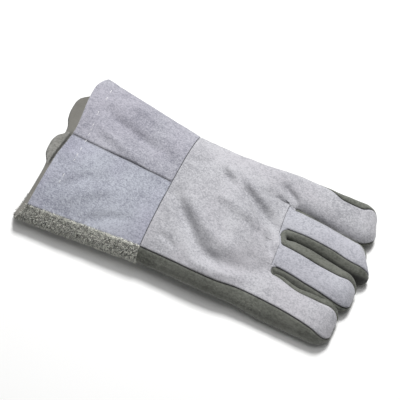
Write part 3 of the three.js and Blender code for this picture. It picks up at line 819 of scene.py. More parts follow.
        left, right = flank(index, True), flank(index + 1, False)
        angle = np.arange(1, 2 * self.WEB_CELLS)[:, None, None] * math.pi / (2 * self.WEB_CELLS)
        webs = mix(left[0], right[0], (1 - np.cos(angle)) / 2)
        radius = np.linalg.norm(right[0] - left[0], axis=-1) / 2
        webs[..., 0] -= radius * self.sizes.web_depth * np.sin(angle[..., 0])
        points = np.concatenate([left[::-1], webs, right])
        along = np.gradient(points, axis=0)
        across = np.gradient(points, axis=1)
        normals = -unit(np.cross(along, across))
        first, last = len(left), len(left) + len(webs)
        normals[:first] = self.nose_normals(index, points[:first], normals[:first], progress[::-1])
        normals[last:] = self.nose_normals(index + 1, points[last:], normals[last:], progress)
        return Lattice(points + self.origin, normals, True, web=(first, last), places=places)


class EdgeKind(Enum):
    """What a stretch of a panel's edge is: its turning radius, its lip's height, and how dark the line along
    it is painted, partly the seam's own dark line and partly painted shade.
    """

    SIDE = (1.7 * MM, 0.35 * MM, 0.95)
    SOFT = (1.5 * MM, 0.2 * MM, 0.35)
    WRIST = (1.0 * MM, 0.12 * MM, 0.8)
    CUFF_SEAM = (0.9 * MM, 0.5 * MM, 0.35)
    GUNN = (0.8 * MM, 0.4 * MM, 0.0)
    GUNN_UNDER = (0.8 * MM, -0.5 * MM, 0.0)
    CROTCH = (1.3 * MM, 0.2 * MM, 0.45)
    CUT = (0.5 * MM, 0.0, 0.15)

    @property
    def radius(self) -> float:
        """Radius of the turned edge."""
        return self.value[0]

    @property
    def lip(self) -> float:
        """How far the leather stands up beside the edge."""
        return self.value[1]

    @property
    def line_and_shade(self) -> float:
        """How dark the line along the edge is painted: partly the seam's own dark line, partly painted
        shade.
        """
        return self.value[2]


@dataclass
class Relief:
    """The leather's own unevenness: slow waves, small puckers and ripples along seams."""

    wave: float = 0.45 * MM
    wave_length: float = 34 * MM
    pucker: float = 0.24 * MM
    pucker_length: float = 9 * MM
    ripple: float = 0.35 * MM
    ripple_length: float = 6.5 * MM
    ripple_reach: float = 7 * MM

    def height(self, spot: Vector, seam: Vector, gap: float) -> float:
        """Returns how far the surface stands out at a place.

        Args:
            spot: The place on the surface.
            seam: The nearest place on the panel's edge.
            gap: How far away that edge is.
        """
        slow = noise.fractal(spot / self.wave_length, 0.7, 2.1, 3) * self.wave
        quick = noise.noise(spot / self.pucker_length + Vector((7.3, 1.1, 4.2))) * self.pucker
        near = max(0.0, 1 - gap / self.ripple_reach) ** 2
        ripple = noise.noise(seam / self.ripple_length + Vector((2.7, 9.4, 0.3))) * self.ripple
        return slow + quick + ripple * near


def grid_mesh(points: np.ndarray, keep: np.ndarray, flip: bool) -> bmesh.types.BMesh:
    """Lays a grid over a lattice of points and cuts away the cells that aren't kept.

    Args:
        points: Points of the lattice, rows by columns.
        keep: Which cells the panel has, one fewer each way.
        flip: Whether the faces are turned round to point outwards.

    Returns:
        The bmesh, whose vertices carry their row and column in the layers row and column.
    """
    rows, columns = points.shape[:2]
    bm = bmesh.new()
    bmesh.ops.create_grid(bm, x_segments=rows - 1, y_segments=columns - 1, size=1.0)
    row_layer = bm.verts.layers.int.new("row")
    column_layer = bm.verts.layers.int.new("column")
    for vert in bm.verts:
        i = round((vert.co.x + 1) / 2 * (rows - 1))
        j = round((vert.co.y + 1) / 2 * (columns - 1))
        vert[row_layer], vert[column_layer] = i, j
    gone = []
    for face in bm.faces:
        i = min(vert[row_layer] for vert in face.verts)
        j = min(vert[column_layer] for vert in face.verts)
        if not keep[i, j]:
            gone.append(face)
    bmesh.ops.delete(bm, geom=gone, context="FACES")
    for vert in bm.verts:
        vert.co = points[vert[row_layer], vert[column_layer]]
    if flip:
        bmesh.ops.reverse_faces(bm, faces=bm.faces[:])
    return bm


def to_object(bm: bmesh.types.BMesh, name: str) -> bpy.types.Object:
    """Turns a bmesh into a smooth object of the scene and frees it."""
    mesh = bpy.data.meshes.new(name)
    bm.to_mesh(mesh)
    bm.free()
    mesh.shade_smooth()
    piece = bpy.data.objects.new(name, mesh)
    bpy.context.scene.collection.objects.link(piece)
    return piece


def thicken(piece: bpy.types.Object, thickness: float, inner_slot: int = 0) -> None:
    """Gives a panel its thickness, inwards from its outer face.

    Args:
        piece: The panel.
        thickness: How thick the leather is.
        inner_slot: How many material slots further the inner face's material is.
    """
    solid = piece.modifiers.new("leather", "SOLIDIFY")
    solid.thickness = thickness
    solid.offset = -1.0
    solid.use_even_offset = False
    solid.use_rim = True
    solid.material_offset = inner_slot
    solid.material_offset_rim = inner_slot


@dataclass
class Panel:
    """One leather panel: the cells of a lattice that it has, its edges and its relief."""

    name: str
    replaces: tuple[str, ...]
    slot: str
    lattice: Lattice
    keep: np.ndarray
    leather: float
    relief: Relief = field(default_factory=Relief)
    skin: Skin | None = None
    shaped: np.ndarray | None = None

    # Rounds in which places whose inner face would lie below the floor are lifted
    FLOOR_ROUNDS: ClassVar[int] = 3

    def kind_of(self, i: int, j: int) -> EdgeKind:
        """Returns what the panel's edge is at a place of the lattice."""
        return EdgeKind.SIDE

    def edge_places(self) -> list[tuple[int, int, int, int]]:
        """Returns the lattice edges that border the panel, each as two places."""
        keep = np.pad(self.keep, 1)
        places = []
        for i, j in zip(*np.nonzero(keep[1:, 1:-1] != keep[:-1, 1:-1])):
            places.append((i, j, i, j + 1))
        for i, j in zip(*np.nonzero(keep[1:-1, 1:] != keep[1:-1, :-1])):
            places.append((i, j, i + 1, j))
        return [tuple(int(value) for value in place) for place in places]

    def edge_tree(self) -> tuple[kdtree.KDTree, list[EdgeKind]]:
        """Returns a search tree of close points along the panel's edge, with their kinds."""
        points = self.lattice.points
        spots, kinds = [], []
        for i, j, k, m in self.edge_places():
            kind = self.kind_of(i, j) if self.kind_of(i, j) is self.kind_of(k, m) else EdgeKind.SIDE
            start, end = points[i, j], points[k, m]
            count = max(1, round(float(np.linalg.norm(end - start)) / (0.25 * MM)))
            for share in np.arange(count) / count:
                spots.append(start + (end - start) * share)
                kinds.append(kind)
        tree = kdtree.KDTree(len(spots))
        for number, spot in enumerate(spots):
            tree.insert(spot, number)
        tree.balance()
        return tree, kinds

    def extra_height(self, i: int, j: int) -> float:
        """Returns how far the surface stands out at a place, beside its edges and relief."""
        return 0.0

    def shape(self) -> tuple[np.ndarray, np.ndarray]:
        """Returns the panel's points with edges, folds and relief, and how dark the line along each edge is
        painted, partly as the seam's own line and partly as painted shade.
        """
        points, normals = self.lattice.points, self.lattice.normals
        tree, kinds = self.edge_tree()
        shaped = points.copy()
        crease = np.zeros(points.shape[:2])
        used = np.zeros(points.shape[:2], bool)
        for di, dj in ((0, 0), (0, 1), (1, 0), (1, 1)):
            used[di:di + self.keep.shape[0], dj:dj + self.keep.shape[1]] |= self.keep
        for i, j in zip(*np.nonzero(used)):
            spot = Vector(points[i, j])
            seam, number, gap = tree.find(spot)
            kind = kinds[number]
            inside = max(0.0, 1 - gap / kind.radius)
            sunk = kind.radius * (1 - math.sqrt(max(0.0, 1 - inside ** 2)))
            lip = kind.lip * math.exp(-((gap / kind.radius - 1.2) / 1.1) ** 2)
            rise = self.relief.height(spot, seam, gap) * min(1.0, 0.25 + gap / (4 * MM))
            height = lip - sunk + rise + self.extra_height(int(i), int(j))
            shaped[i, j] = points[i, j] + normals[i, j] * height
            # Painted shade along the edge's fold, together with the seam's own dark line
            crease[i, j] = kind.line_and_shade * max(0.0, 1 - gap / (0.7 * kind.radius))
        shaped[..., 2] = np.maximum(shaped[..., 2], 0.0)
        return shaped, crease

    def build(self) -> bpy.types.Object:
        """Makes the panel's object, with its attribute of painted edge shade and seam line, and its
        leather's thickness.
        """
        self.shaped, crease = self.shape()
        bm = grid_mesh(self.shaped, self.keep, self.lattice.flip)
        row_layer, column_layer = bm.verts.layers.int["row"], bm.verts.layers.int["column"]
        crease_line_and_shade_layer = bm.verts.layers.float.new("crease")
        for vert in bm.verts:
            vert[crease_line_and_shade_layer] = crease[vert[row_layer], vert[column_layer]]
        bm.verts.layers.int.remove(bm.verts.layers.int["row"])
        bm.verts.layers.int.remove(bm.verts.layers.int["column"])
        for _ in range(self.FLOOR_ROUNDS):
            bm.normal_update()
            for vert in bm.verts:
                vert.co.z = max(vert.co.z, self.leather * vert.normal.z)
        piece = to_object(bm, self.name)
        thicken(piece, self.leather)
        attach(piece, "root")
        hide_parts(*self.replaces)
        return piece


@dataclass(frozen=True)
class Hem:
    """The turned-in hem at the cuff's mouth: a slightly raised band with a sunk stitch line."""

    stitch_line: float = 16 * MM
    rise: float = 0.55 * MM
    groove: float = 0.5 * MM
    groove_width: float = 1.5 * MM

    def height(self, place: float) -> float:
        """Returns how far the cuff stands out at a distance from its mouth."""
        band = 1 - float(smooth(place, self.stitch_line, self.stitch_line + 3 * MM))
        sunk = math.exp(-((place - self.stitch_line) / self.groove_width) ** 2)
        return self.rise * band - self.groove * sunk


@dataclass
class BackPanel(Panel):
    """A panel of the back, which the finer folds cross."""

    fine: np.ndarray | None = None
    fold_strength: float = 1.6
    gunn_side: EdgeKind = EdgeKind.GUNN
    hem: Hem = field(default_factory=Hem)

    def prepare(self) -> None:
        """Works out how deep the finer folds are over the whole lattice."""
        lattice, skin = self.lattice, self.skin
        stations = lattice.stations
        flat = lattice.points - skin.origin
        self.fine = np.zeros(lattice.points.shape[:2])
        for part in (Part.CUFF, Part.HAND):
            rows = (stations.part == part.value) & (stations.depth < 0.5 * MM)
            spread = flat[rows]
            depth = skin.fold_depth(part, spread[..., 0], spread[..., 1], skin.fine_folds)
            self.fine[rows] = depth * self.fold_strength

    def kind_of(self, i: int, j: int) -> EdgeKind:
        """Returns what the panel's edge is at a place of the lattice."""
        stations, columns = self.lattice.stations, self.lattice.columns
        wrist, crotch = stations.first(Part.HAND), stations.first(Part.FINGER)
        if i == 0:
            return EdgeKind.CUT
        if j in (0, len(columns.finger) - 1):
            return EdgeKind.SIDE
        if i == wrist:
            return EdgeKind.WRIST
        if i < wrist:
            return EdgeKind.CUFF_SEAM
        if i < crotch or (i == crotch and columns.finger[j] in (1, 2)):
            return self.gunn_side
        if i == crotch:
            return EdgeKind.CROTCH
        near_ring = columns.finger[j] == 1 and columns.finger[j - 1] != 1
        return EdgeKind.SIDE if near_ring or columns.finger[j] == 3 else EdgeKind.SOFT

    def extra_height(self, i: int, j: int) -> float:
        """Returns how far the finer folds and the hem move the surface at a place."""
        stations = self.lattice.stations
        height = -float(self.fine[i, j])
        if stations.part[i] == Part.CUFF.value and stations.depth[i] < 0.5 * MM:
            place = float(stations.along[i]) * self.skin.sizes.cuff_length
            height += self.hem.height(place)
        return height

    def build(self) -> bpy.types.Object:
        """Makes the panel's object."""
        self.prepare()
        return Panel.build(self)


@dataclass
class PalmPanel(Panel):
    """A panel of the palm side, with a painted shadow across the rough part of the cuff's mouth, just beside
    the back's edge.
    """

    # How far before and beside the back's edge the painted shadow begins, and how wide it is
    MOUTH_PAINTED_SHADOW: ClassVar[tuple[float, float, float]] = (15.8 * MM, 15.0 * MM, 3.0 * MM)

    def shape(self) -> tuple[np.ndarray, np.ndarray]:
        """Returns the panel's points, and its creases with the painted shadow across the cuff's mouth."""
        shaped, crease = Panel.shape(self)
        if self.skin is None:
            return shaped, crease
        size, spot = self.skin.sizes, shaped - self.skin.origin
        before, beside, wide = self.MOUTH_PAINTED_SHADOW
        half = size.mouth_width / 2
        across = np.nan_to_num((spot[..., 1] - beside) / half)
        edge = read_rows(MOUTH_EDGE, "turn", "back", self.skin.turn_at(across, Side.BACK))
        begin = edge * size.cuff_length - size.station_skew * across * half - before
        low, high = ROUGH_SHARES
        place = spot[..., 1] / half
        among = smooth(place, low - 0.05, low + 0.05) * (1 - smooth(place, high - 0.05, high + 0.05))
        middle = begin + wide / 2
        # Painted shadow of the back's edge: a dark band across the mouth's rough inner leather
        dark = np.nan_to_num((1 - smooth(np.abs(spot[..., 0] - middle), wide / 4, wide * 0.75)) * among)
        return shaped, np.maximum(crease, dark)

    def kind_of(self, i: int, j: int) -> EdgeKind:
        """Returns what the panel's edge is at a place of the lattice."""
        stations, columns = self.lattice.stations, self.lattice.columns
        if i == 0:
            return EdgeKind.CUT
        if j in (0, len(columns.finger) - 1):
            return EdgeKind.SIDE
        if i == stations.first(Part.HAND):
            return EdgeKind.WRIST
        return EdgeKind.SIDE


@dataclass
class WallPanel(Panel):
    """The strip of leather between two fingers, which turns round their crotch."""

    # Whether the right edge past the crotch is a side seam, with its darker painted shade
    right_edge_shaded: bool = False
    bulge: float = 1.0 * MM
    left_bulge: float = 3.8 * MM
    roll: float = 2.3 * MM
    roll_share: float = 0.5
    # Shares of the strip's depth over which painted shade darkens its left and right flanks, deep in the gap
    # between the fingers
    left_gap_shade: tuple[float, float] = (0.3, 0.6)
    right_gap_shade: tuple[float, float] = (0.24, 0.5)
    roll_rows: int = 12

    def kind_of(self, i: int, j: int) -> EdgeKind:
        """Returns what the strip's edge is at a place of the lattice."""
        if j == self.lattice.points.shape[1] - 1:
            return EdgeKind.SIDE
        return EdgeKind.SIDE if self.right_edge_shaded and i >= self.lattice.web[1] else EdgeKind.SOFT

    def extra_height(self, i: int, j: int) -> float:
        """Returns the strip's soft bulge, and its thick roll round the crotch."""
        first, last = self.lattice.web
        place = float(self.lattice.places[j])
        away = max(first - i, i - last, 0) / self.roll_rows
        rolled = 1 - float(smooth(away, 0.0, 1.0))
        fade = 1 - float(smooth(min(i, len(self.lattice.points) - 1 - i), 0, 14))
        round_top = math.sin(math.pi * min(1.0, place / self.roll_share)) * rolled * self.roll
        full = math.sin(math.pi * min(1.0, place / 0.8)) * (self.left_bulge if i < first else self.bulge)
        return round_top + full * (1 - fade) * (1 - rolled)

    def shape(self) -> tuple[np.ndarray, np.ndarray]:
        """Returns the strip's points, and its creases with the painted shade of the deep gap."""
        shaped, crease = Panel.shape(self)
        places, split = self.lattice.places, sum(self.lattice.web) // 2
        left, right = smooth(places, *self.left_gap_shade), smooth(places, *self.right_gap_shade)
        rows = np.arange(len(crease))[:, None]
        return shaped, np.maximum(crease, np.where(rows < split, left[None, :], right[None, :]))


@dataclass(frozen=True)
class LeatherFinish:
    """A leather's colours and the size and strength of its marks.

    Nap and pore scales are in waves per metre; amounts are shares of the colour.
    """

    name: str
    light: tuple[float, float, float]
    dark: tuple[float, float, float]
    tint: tuple[float, float, float]
    mottle: float = 0.5
    nap: float = 1.25
    specks: float = 0.4
    nap_scale: float = 850.0
    stretch: float = 0.7
    bump: float = 0.75
    roughness: float = 0.93
    sheen: float = 0.25


SUEDE_HAND = LeatherFinish("hand_suede", (0.53, 0.53, 0.556), (0.29, 0.29, 0.315), (0.49, 0.473, 0.508),
                           mottle=0.6)
SUEDE_FINGER = LeatherFinish("finger_suede", (0.5, 0.505, 0.545), (0.28, 0.285, 0.32), (0.46, 0.455, 0.505),
                             mottle=0.6)
SUEDE_UPPER = LeatherFinish("cuff_upper_suede", (0.46, 0.46, 0.505), (0.21, 0.21, 0.25),
                            (0.41, 0.395, 0.455))
SUEDE_LOWER = LeatherFinish("cuff_lower_suede", (0.455, 0.475, 0.53), (0.22, 0.225, 0.275),
                            (0.41, 0.395, 0.49))
OLIVE = LeatherFinish("palm_leather", (0.19, 0.197, 0.172), (0.07, 0.074, 0.061), (0.14, 0.143, 0.125),
                      mottle=0.7, nap=0.85, nap_scale=600.0, bump=0.45, roughness=0.85)
ROUGH = LeatherFinish("rough_split", (0.42, 0.415, 0.375), (0.10, 0.10, 0.085), (0.26, 0.255, 0.225),
                      nap=0.95, nap_scale=480.0, bump=0.8, sheen=0.1)
TAUPE = LeatherFinish("cuff_inner_taupe", (0.22, 0.213, 0.193), (0.145, 0.14, 0.126), (0.195, 0.188, 0.169),
                      nap=0.2, nap_scale=900.0, bump=0.12, roughness=0.75)
SPECKLED = LeatherFinish("cuff_inner_speckled", (0.33, 0.325, 0.305), (0.13, 0.13, 0.118),
                         (0.26, 0.255, 0.235), nap=1.0, nap_scale=520.0, bump=0.6)


# The finish of each panel that isn't olive
FINISHES = {
    "cuff_back_upper_leather": SUEDE_UPPER, "cuff_back_lower_leather": SUEDE_LOWER,
    "hand_back_leather": SUEDE_HAND, "middle_ring_back_leather": SUEDE_FINGER,
    "cuff_palm_leather": ROUGH,
}

# How deep the nap's bump is
NAP_DEPTH = 0.4 * MM


class NodeBook:
    """Builds node trees: adds a node with its settings and links sockets."""

    def __init__(self, tree: bpy.types.NodeTree) -> None:
        """Keeps the tree that the nodes go in."""
        self.tree = tree

    def add(self, kind: str, inputs: dict | None = None, **settings: object) -> bpy.types.Node:
        """Adds a node.

        Args:
            kind: The node's type, without the ShaderNode at its start.
            inputs: Values of sockets, or the output sockets that feed them.
            settings: The node's own settings.

        Returns:
            The node.
        """
        prefix = "" if kind.startswith("Node") else "ShaderNode"
        node = self.tree.nodes.new(prefix + kind)
        for key, value in settings.items():
            setattr(node, key, value)
        for key, value in (inputs or {}).items():
            if isinstance(value, bpy.types.NodeSocket):
                self.tree.links.new(value, node.inputs[key])
            else:
                node.inputs[key].default_value = value
        return node

    def math(self, operation: str, first: object, second: object = 0.0,
             clamp: bool = False) -> bpy.types.NodeSocket:
        """Adds a Math node and returns its output."""
        return self.add("Math", {0: first, 1: second}, operation=operation, use_clamp=clamp).outputs[0]

    def blend(self, share: object, low: object, high: object) -> bpy.types.NodeSocket:
        """Adds a colour Mix node and returns its output."""
        return self.add("Mix", {0: share, 6: low, 7: high}, data_type="RGBA").outputs[2]

    def ramp(self, value: bpy.types.NodeSocket, low: float, high: float) -> bpy.types.NodeSocket:
        """Adds a Map Range node from low and high to 0 and 1 and returns its output."""
        given = {"Value": value, "From Min": low, "From Max": high}
        return self.add("MapRange", given, clamp=True).outputs[0]

    def noise(self, place: bpy.types.NodeSocket, scale: object, detail: float,
              roughness: float = 0.5, distortion: float = 0.0) -> bpy.types.NodeSocket:
        """Adds a Noise Texture node and returns its value."""
        given = {"Vector": place, "Scale": scale, "Detail": detail, "Roughness": roughness,
                 "Distortion": distortion}
        return self.add("TexNoise", given).outputs["Fac"]

    def swing(self, value: bpy.types.NodeSocket, low: float, high: float,
              amount: object) -> bpy.types.NodeSocket:
        """Adds the nodes that spread a noise around zero by an amount and returns their output."""
        return self.math("MULTIPLY", self.math("SUBTRACT", self.ramp(value, low, high), 0.5), amount)


def leather_group() -> bpy.types.ShaderNodeTree:
    """Builds the node group that every leather uses: mottling, nap, specks, and the painted shade and dark
    seam lines of its creases.

    Returns:
        The group, with outputs Color, Height and Roughness.
    """
    group = bpy.data.node_groups.new("leather_surface", "ShaderNodeTree")
    face = group.interface
    for name in ("Light", "Dark", "Tint"):
        face.new_socket(name=name, in_out="INPUT", socket_type="NodeSocketColor")
    for name in ("Mottle", "Nap", "Specks", "Nap Scale", "Stretch", "Base Roughness"):
        face.new_socket(name=name, in_out="INPUT", socket_type="NodeSocketFloat")
    face.new_socket(name="Color", in_out="OUTPUT", socket_type="NodeSocketColor")
    face.new_socket(name="Height", in_out="OUTPUT", socket_type="NodeSocketFloat")
    face.new_socket(name="Roughness", in_out="OUTPUT", socket_type="NodeSocketFloat")
    book = NodeBook(group)
    given = book.add("NodeGroupInput").outputs
    place = book.add("TexCoord").outputs["Object"]
    stretch = book.add("CombineXYZ", {"X": given["Stretch"], "Y": 1.0, "Z": 1.0}).outputs[0]
    along = book.add("Mapping", {"Vector": place, "Scale": stretch}).outputs[0]
    slow = book.noise(place, scale=22.0, detail=4.0, roughness=0.55)
    hue = book.noise(place, scale=13.0, detail=2.0, distortion=0.6)
    middle = book.noise(along, scale=150.0, detail=3.0, roughness=0.6)
    nap = book.noise(along, scale=given["Nap Scale"], detail=3.0, roughness=0.65)
    pore = book.noise(along, scale=620.0, detail=1.0)
    grain = book.noise(along, scale=360.0, detail=2.0, roughness=0.6)
    mottle = book.swing(slow, 0.32, 0.68, given["Mottle"])
    cloud = book.swing(middle, 0.3, 0.7, given["Mottle"])
    fibre = book.swing(nap, 0.3, 0.7, given["Nap"])
    coarse = book.swing(grain, 0.32, 0.68, given["Nap"])
    soft = book.math("ADD", mottle, book.math("MULTIPLY", cloud, 0.5))
    share = book.math("ADD", soft, book.math("ADD", book.math("MULTIPLY", coarse, 0.3), fibre))
    shade = book.math("ADD", share, 0.6, clamp=True)
    tint_share = book.math("MULTIPLY", book.ramp(hue, 0.42, 0.62), 0.6)
    tinted = book.blend(tint_share, given["Light"], given["Tint"])
    color = book.blend(shade, given["Dark"], tinted)
    speck = book.math("MULTIPLY", book.ramp(pore, 0.66, 0.76), given["Specks"])
    color = book.blend(speck, color, given["Dark"])
    # Darkens the colour towards black where the attribute says: painted shade in creases, gaps and seams,
    # with the seams' own dark lines
    crease = book.add("Attribute", attribute_name="crease").outputs["Fac"]
    color = book.blend(book.math("MULTIPLY", crease, 0.85), color, (0.02, 0.02, 0.02, 1.0))
    low = book.math("ADD", book.math("MULTIPLY", grain, 0.7), book.math("MULTIPLY", middle, 0.6))
    height = book.math("ADD", book.math("MULTIPLY", nap, 0.7), low)
    rough = book.math("ADD", given["Base Roughness"], book.math("MULTIPLY", fibre, 0.1), clamp=True)
    book.add("NodeGroupOutput", {"Color": color, "Height": height, "Roughness": rough})
    return group


def leather_material(finish: LeatherFinish, group: bpy.types.ShaderNodeTree) -> bpy.types.Material:
    """Makes a leather's material from the shared group.

    Args:
        finish: The leather's colours and marks.
        group: The shared node group.
    """
    material = bpy.data.materials.new(finish.name)
    material.use_nodes = True
    material.node_tree.nodes.clear()
    book = NodeBook(material.node_tree)
    surface = book.add("Group", node_tree=group)
    for name, value in (("Light", finish.light), ("Dark", finish.dark), ("Tint", finish.tint)):
        surface.inputs[name].default_value = (*value, 1.0)
    for name, value in (("Mottle", finish.mottle), ("Nap", finish.nap), ("Specks", finish.specks),
                        ("Nap Scale", finish.nap_scale), ("Stretch", finish.stretch),
                        ("Base Roughness", finish.roughness)):
        surface.inputs[name].default_value = value
    bump = book.add("Bump", {
        "Strength": finish.bump, "Distance": NAP_DEPTH, "Height": surface.outputs["Height"]})
    shader = book.add("BsdfPrincipled", {
        "Base Color": surface.outputs["Color"], "Roughness": surface.outputs["Roughness"],
        "Normal": bump.outputs[0]})
    shader.inputs["Sheen Weight"].default_value = finish.sheen
    shader.inputs["Sheen Roughness"].default_value = 0.5
    shader.inputs["Specular IOR Level"].default_value = 0.2
    book.add("OutputMaterial", {"Surface": shader.outputs[0]})
    return material


@dataclass
class Pile:
    """The rough split leather's pile: short tufts that stand on the cuff's near side.

    lean, over, upright and clump say how strongly a tuft leans at random, leans over the seam,
    stands up and leans with its neighbours. The brightness runs from the mouth to the wrist.
    """

    count: int = 13000
    length: float = 2.5 * MM
    radius: float = 0.4 * MM
    seed: int = 11
    lean: float = 0.5
    over: float = 0.0
    upright: float = 1.15
    down_limit: float = -0.1
    clump: float = 0.6
    clump_size: float = 3.5 * MM
    blotch: float = 0.35
    blotch_size: float = 1.9 * MM
    brightness: tuple[float, float] = (0.88, 1.75)
    dark: tuple[float, float, float] = (0.06, 0.06, 0.05)
    light: tuple[float, float, float] = (1.0, 1.0, 0.93)

    def template(self) -> tuple[np.ndarray, list[tuple[int, ...]]]:
        """Returns the corners and faces of one bent tuft, one unit high and wide."""
        bm = bmesh.new()
        bmesh.ops.create_cone(bm, cap_ends=True, segments=3, radius1=1.0, radius2=0.4, depth=1.0)
        bmesh.ops.translate(bm, verts=bm.verts[:], vec=(0, 0, 0.5))
        bmesh.ops.bisect_plane(bm, geom=bm.verts[:] + bm.edges[:] + bm.faces[:], dist=1e-6,
                               plane_co=(0, 0, 0.5), plane_no=(0, 0, 1))
        for vert in bm.verts:
            if vert.co.z > 0.75:
                vert.co.x += 0.9
        bm.verts.index_update()
        corners = np.array([vert.co[:] for vert in bm.verts])
        faces = [tuple(vert.index for vert in face.verts) for face in bm.faces]
        bm.free()
        return corners, faces

    def scatter(self, panel: Panel, cells: np.ndarray) -> tuple[np.ndarray, np.ndarray]:
        """Picks places on some cells of a panel, evenly over their area.

        Args:
            panel: The panel, already shaped.
            cells: Which cells of its lattice carry pile.

        Returns:
            The places and the outward normals there.
        """
        chance = np.random.default_rng(self.seed)
        points, normals = panel.shaped, panel.lattice.normals
        rows, columns = np.nonzero(cells & panel.keep)
        corner = points[rows, columns]
        down, right = points[rows + 1, columns] - corner, points[rows, columns + 1] - corner
        area = np.linalg.norm(np.cross(down, right), axis=-1)
        pick = chance.choice(len(rows), self.count, p=area / area.sum())
        u, v = chance.random((2, self.count, 1))
        i, j = rows[pick], columns[pick]
        spot = mix(mix(points[i, j], points[i + 1, j], u), mix(points[i, j + 1], points[i + 1, j + 1], u), v)
        return spot, normals[i, j]

    def build(self, panel: Panel, cells: np.ndarray, name: str) -> bpy.types.Object:
        """Makes the pile as one joined mesh, with a random shade for each tuft.

        Args:
            panel: The panel that the pile grows on.
            cells: Which cells of its lattice carry pile.
            name: The piece's name.
        """
        noise.seed_set(self.seed)
        chance = np.random.default_rng(self.seed + 1)
        corners, faces = self.template()
        spot, normal = self.scatter(panel, cells)
        lean = chance.normal(0, self.lean, (self.count, 3))
        clump = np.array([noise.noise_vector(Vector(place) / self.clump_size) for place in spot])
        blotch = np.array([noise.noise(Vector(place) / self.blotch_size) for place in spot])
        low, high = spot[:, 0].min(), spot[:, 0].max()
        outward = normal * self.upright
        outward[:, 2] = np.maximum(outward[:, 2], self.down_limit)
        outward[:, 0] -= 1.1 * (1 - smooth(spot[:, 0], low + 1.0 * MM, low + 3.5 * MM))
        up = unit(outward + lean + clump * self.clump + np.array([0.0, 1.0, 0.6]) * self.over)
        side = unit(np.cross(up, chance.normal(0, 1, (self.count, 3))))
        other = np.cross(up, side)
        tall = self.length * chance.uniform(0.45, 1.1, (self.count, 1))
        wide = self.radius * chance.uniform(0.6, 1.3, (self.count, 1))
        placed = (spot[:, None] - up[:, None] * 0.3 * MM
                  + corners[None, :, 0:1] * (side * wide)[:, None]
                  + corners[None, :, 1:2] * (other * wide)[:, None]
                  + corners[None, :, 2:3] * (up * tall)[:, None])
        placed[..., 2] = np.maximum(placed[..., 2], 0.05 * MM)
        step = len(corners)
        listed = [tuple(step * k + corner for corner in face) for k in range(self.count) for face in faces]
        mesh = bpy.data.meshes.new(name)
        mesh.from_pydata(placed.reshape(-1, 3).tolist(), [], listed)
        shade = mesh.attributes.new("shade", "FLOAT", "POINT")
        brighter = mix(*self.brightness, (spot[:, 0] - low) / (high - low))
        tone = (chance.beta(0.75, 0.8, self.count) * 0.8 + blotch * self.blotch) * brighter
        tone = np.clip(tone[:, None] + corners[None, :, 2] * 0.18, 0.0, 1.0)
        shade.data.foreach_set("value", tone.astype(np.float32).ravel())
        mesh.shade_smooth()
        piece = bpy.data.objects.new(name, mesh)
        bpy.context.scene.collection.objects.link(piece)
        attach(piece, "root")
        return piece


def pile_material(name: str, dark: tuple, light: tuple) -> bpy.types.Material:
    """Makes a pile's material, whose shade comes from each tuft's own attribute.

    Args:
        name: The material's name.
        dark: The colour of the darkest tufts.
        light: The colour of the lightest ones.
    """
    material = bpy.data.materials.new(name)
    material.use_nodes = True
    material.node_tree.nodes.clear()
    book = NodeBook(material.node_tree)
    shade = book.add("Attribute", attribute_name="shade").outputs["Fac"]
    color = book.blend(shade, (*dark, 1), (*light, 1))
    shader = book.add("BsdfPrincipled", {"Base Color": color, "Roughness": 0.95})
    shader.inputs["Sheen Weight"].default_value = 0.2
    shader.inputs["Specular IOR Level"].default_value = 0.1
    book.add("OutputMaterial", {"Surface": shader.outputs[0]})
    return material


@dataclass(frozen=True)
class Stitch:
    """A stitch that shows: the two ends of its straight run in the frame, and its thread."""

    start: tuple[float, float]
    end: tuple[float, float]
    radius: float = 0.34 * MM
    height: float = 0.3 * MM
    sunk: float = 0.4 * MM


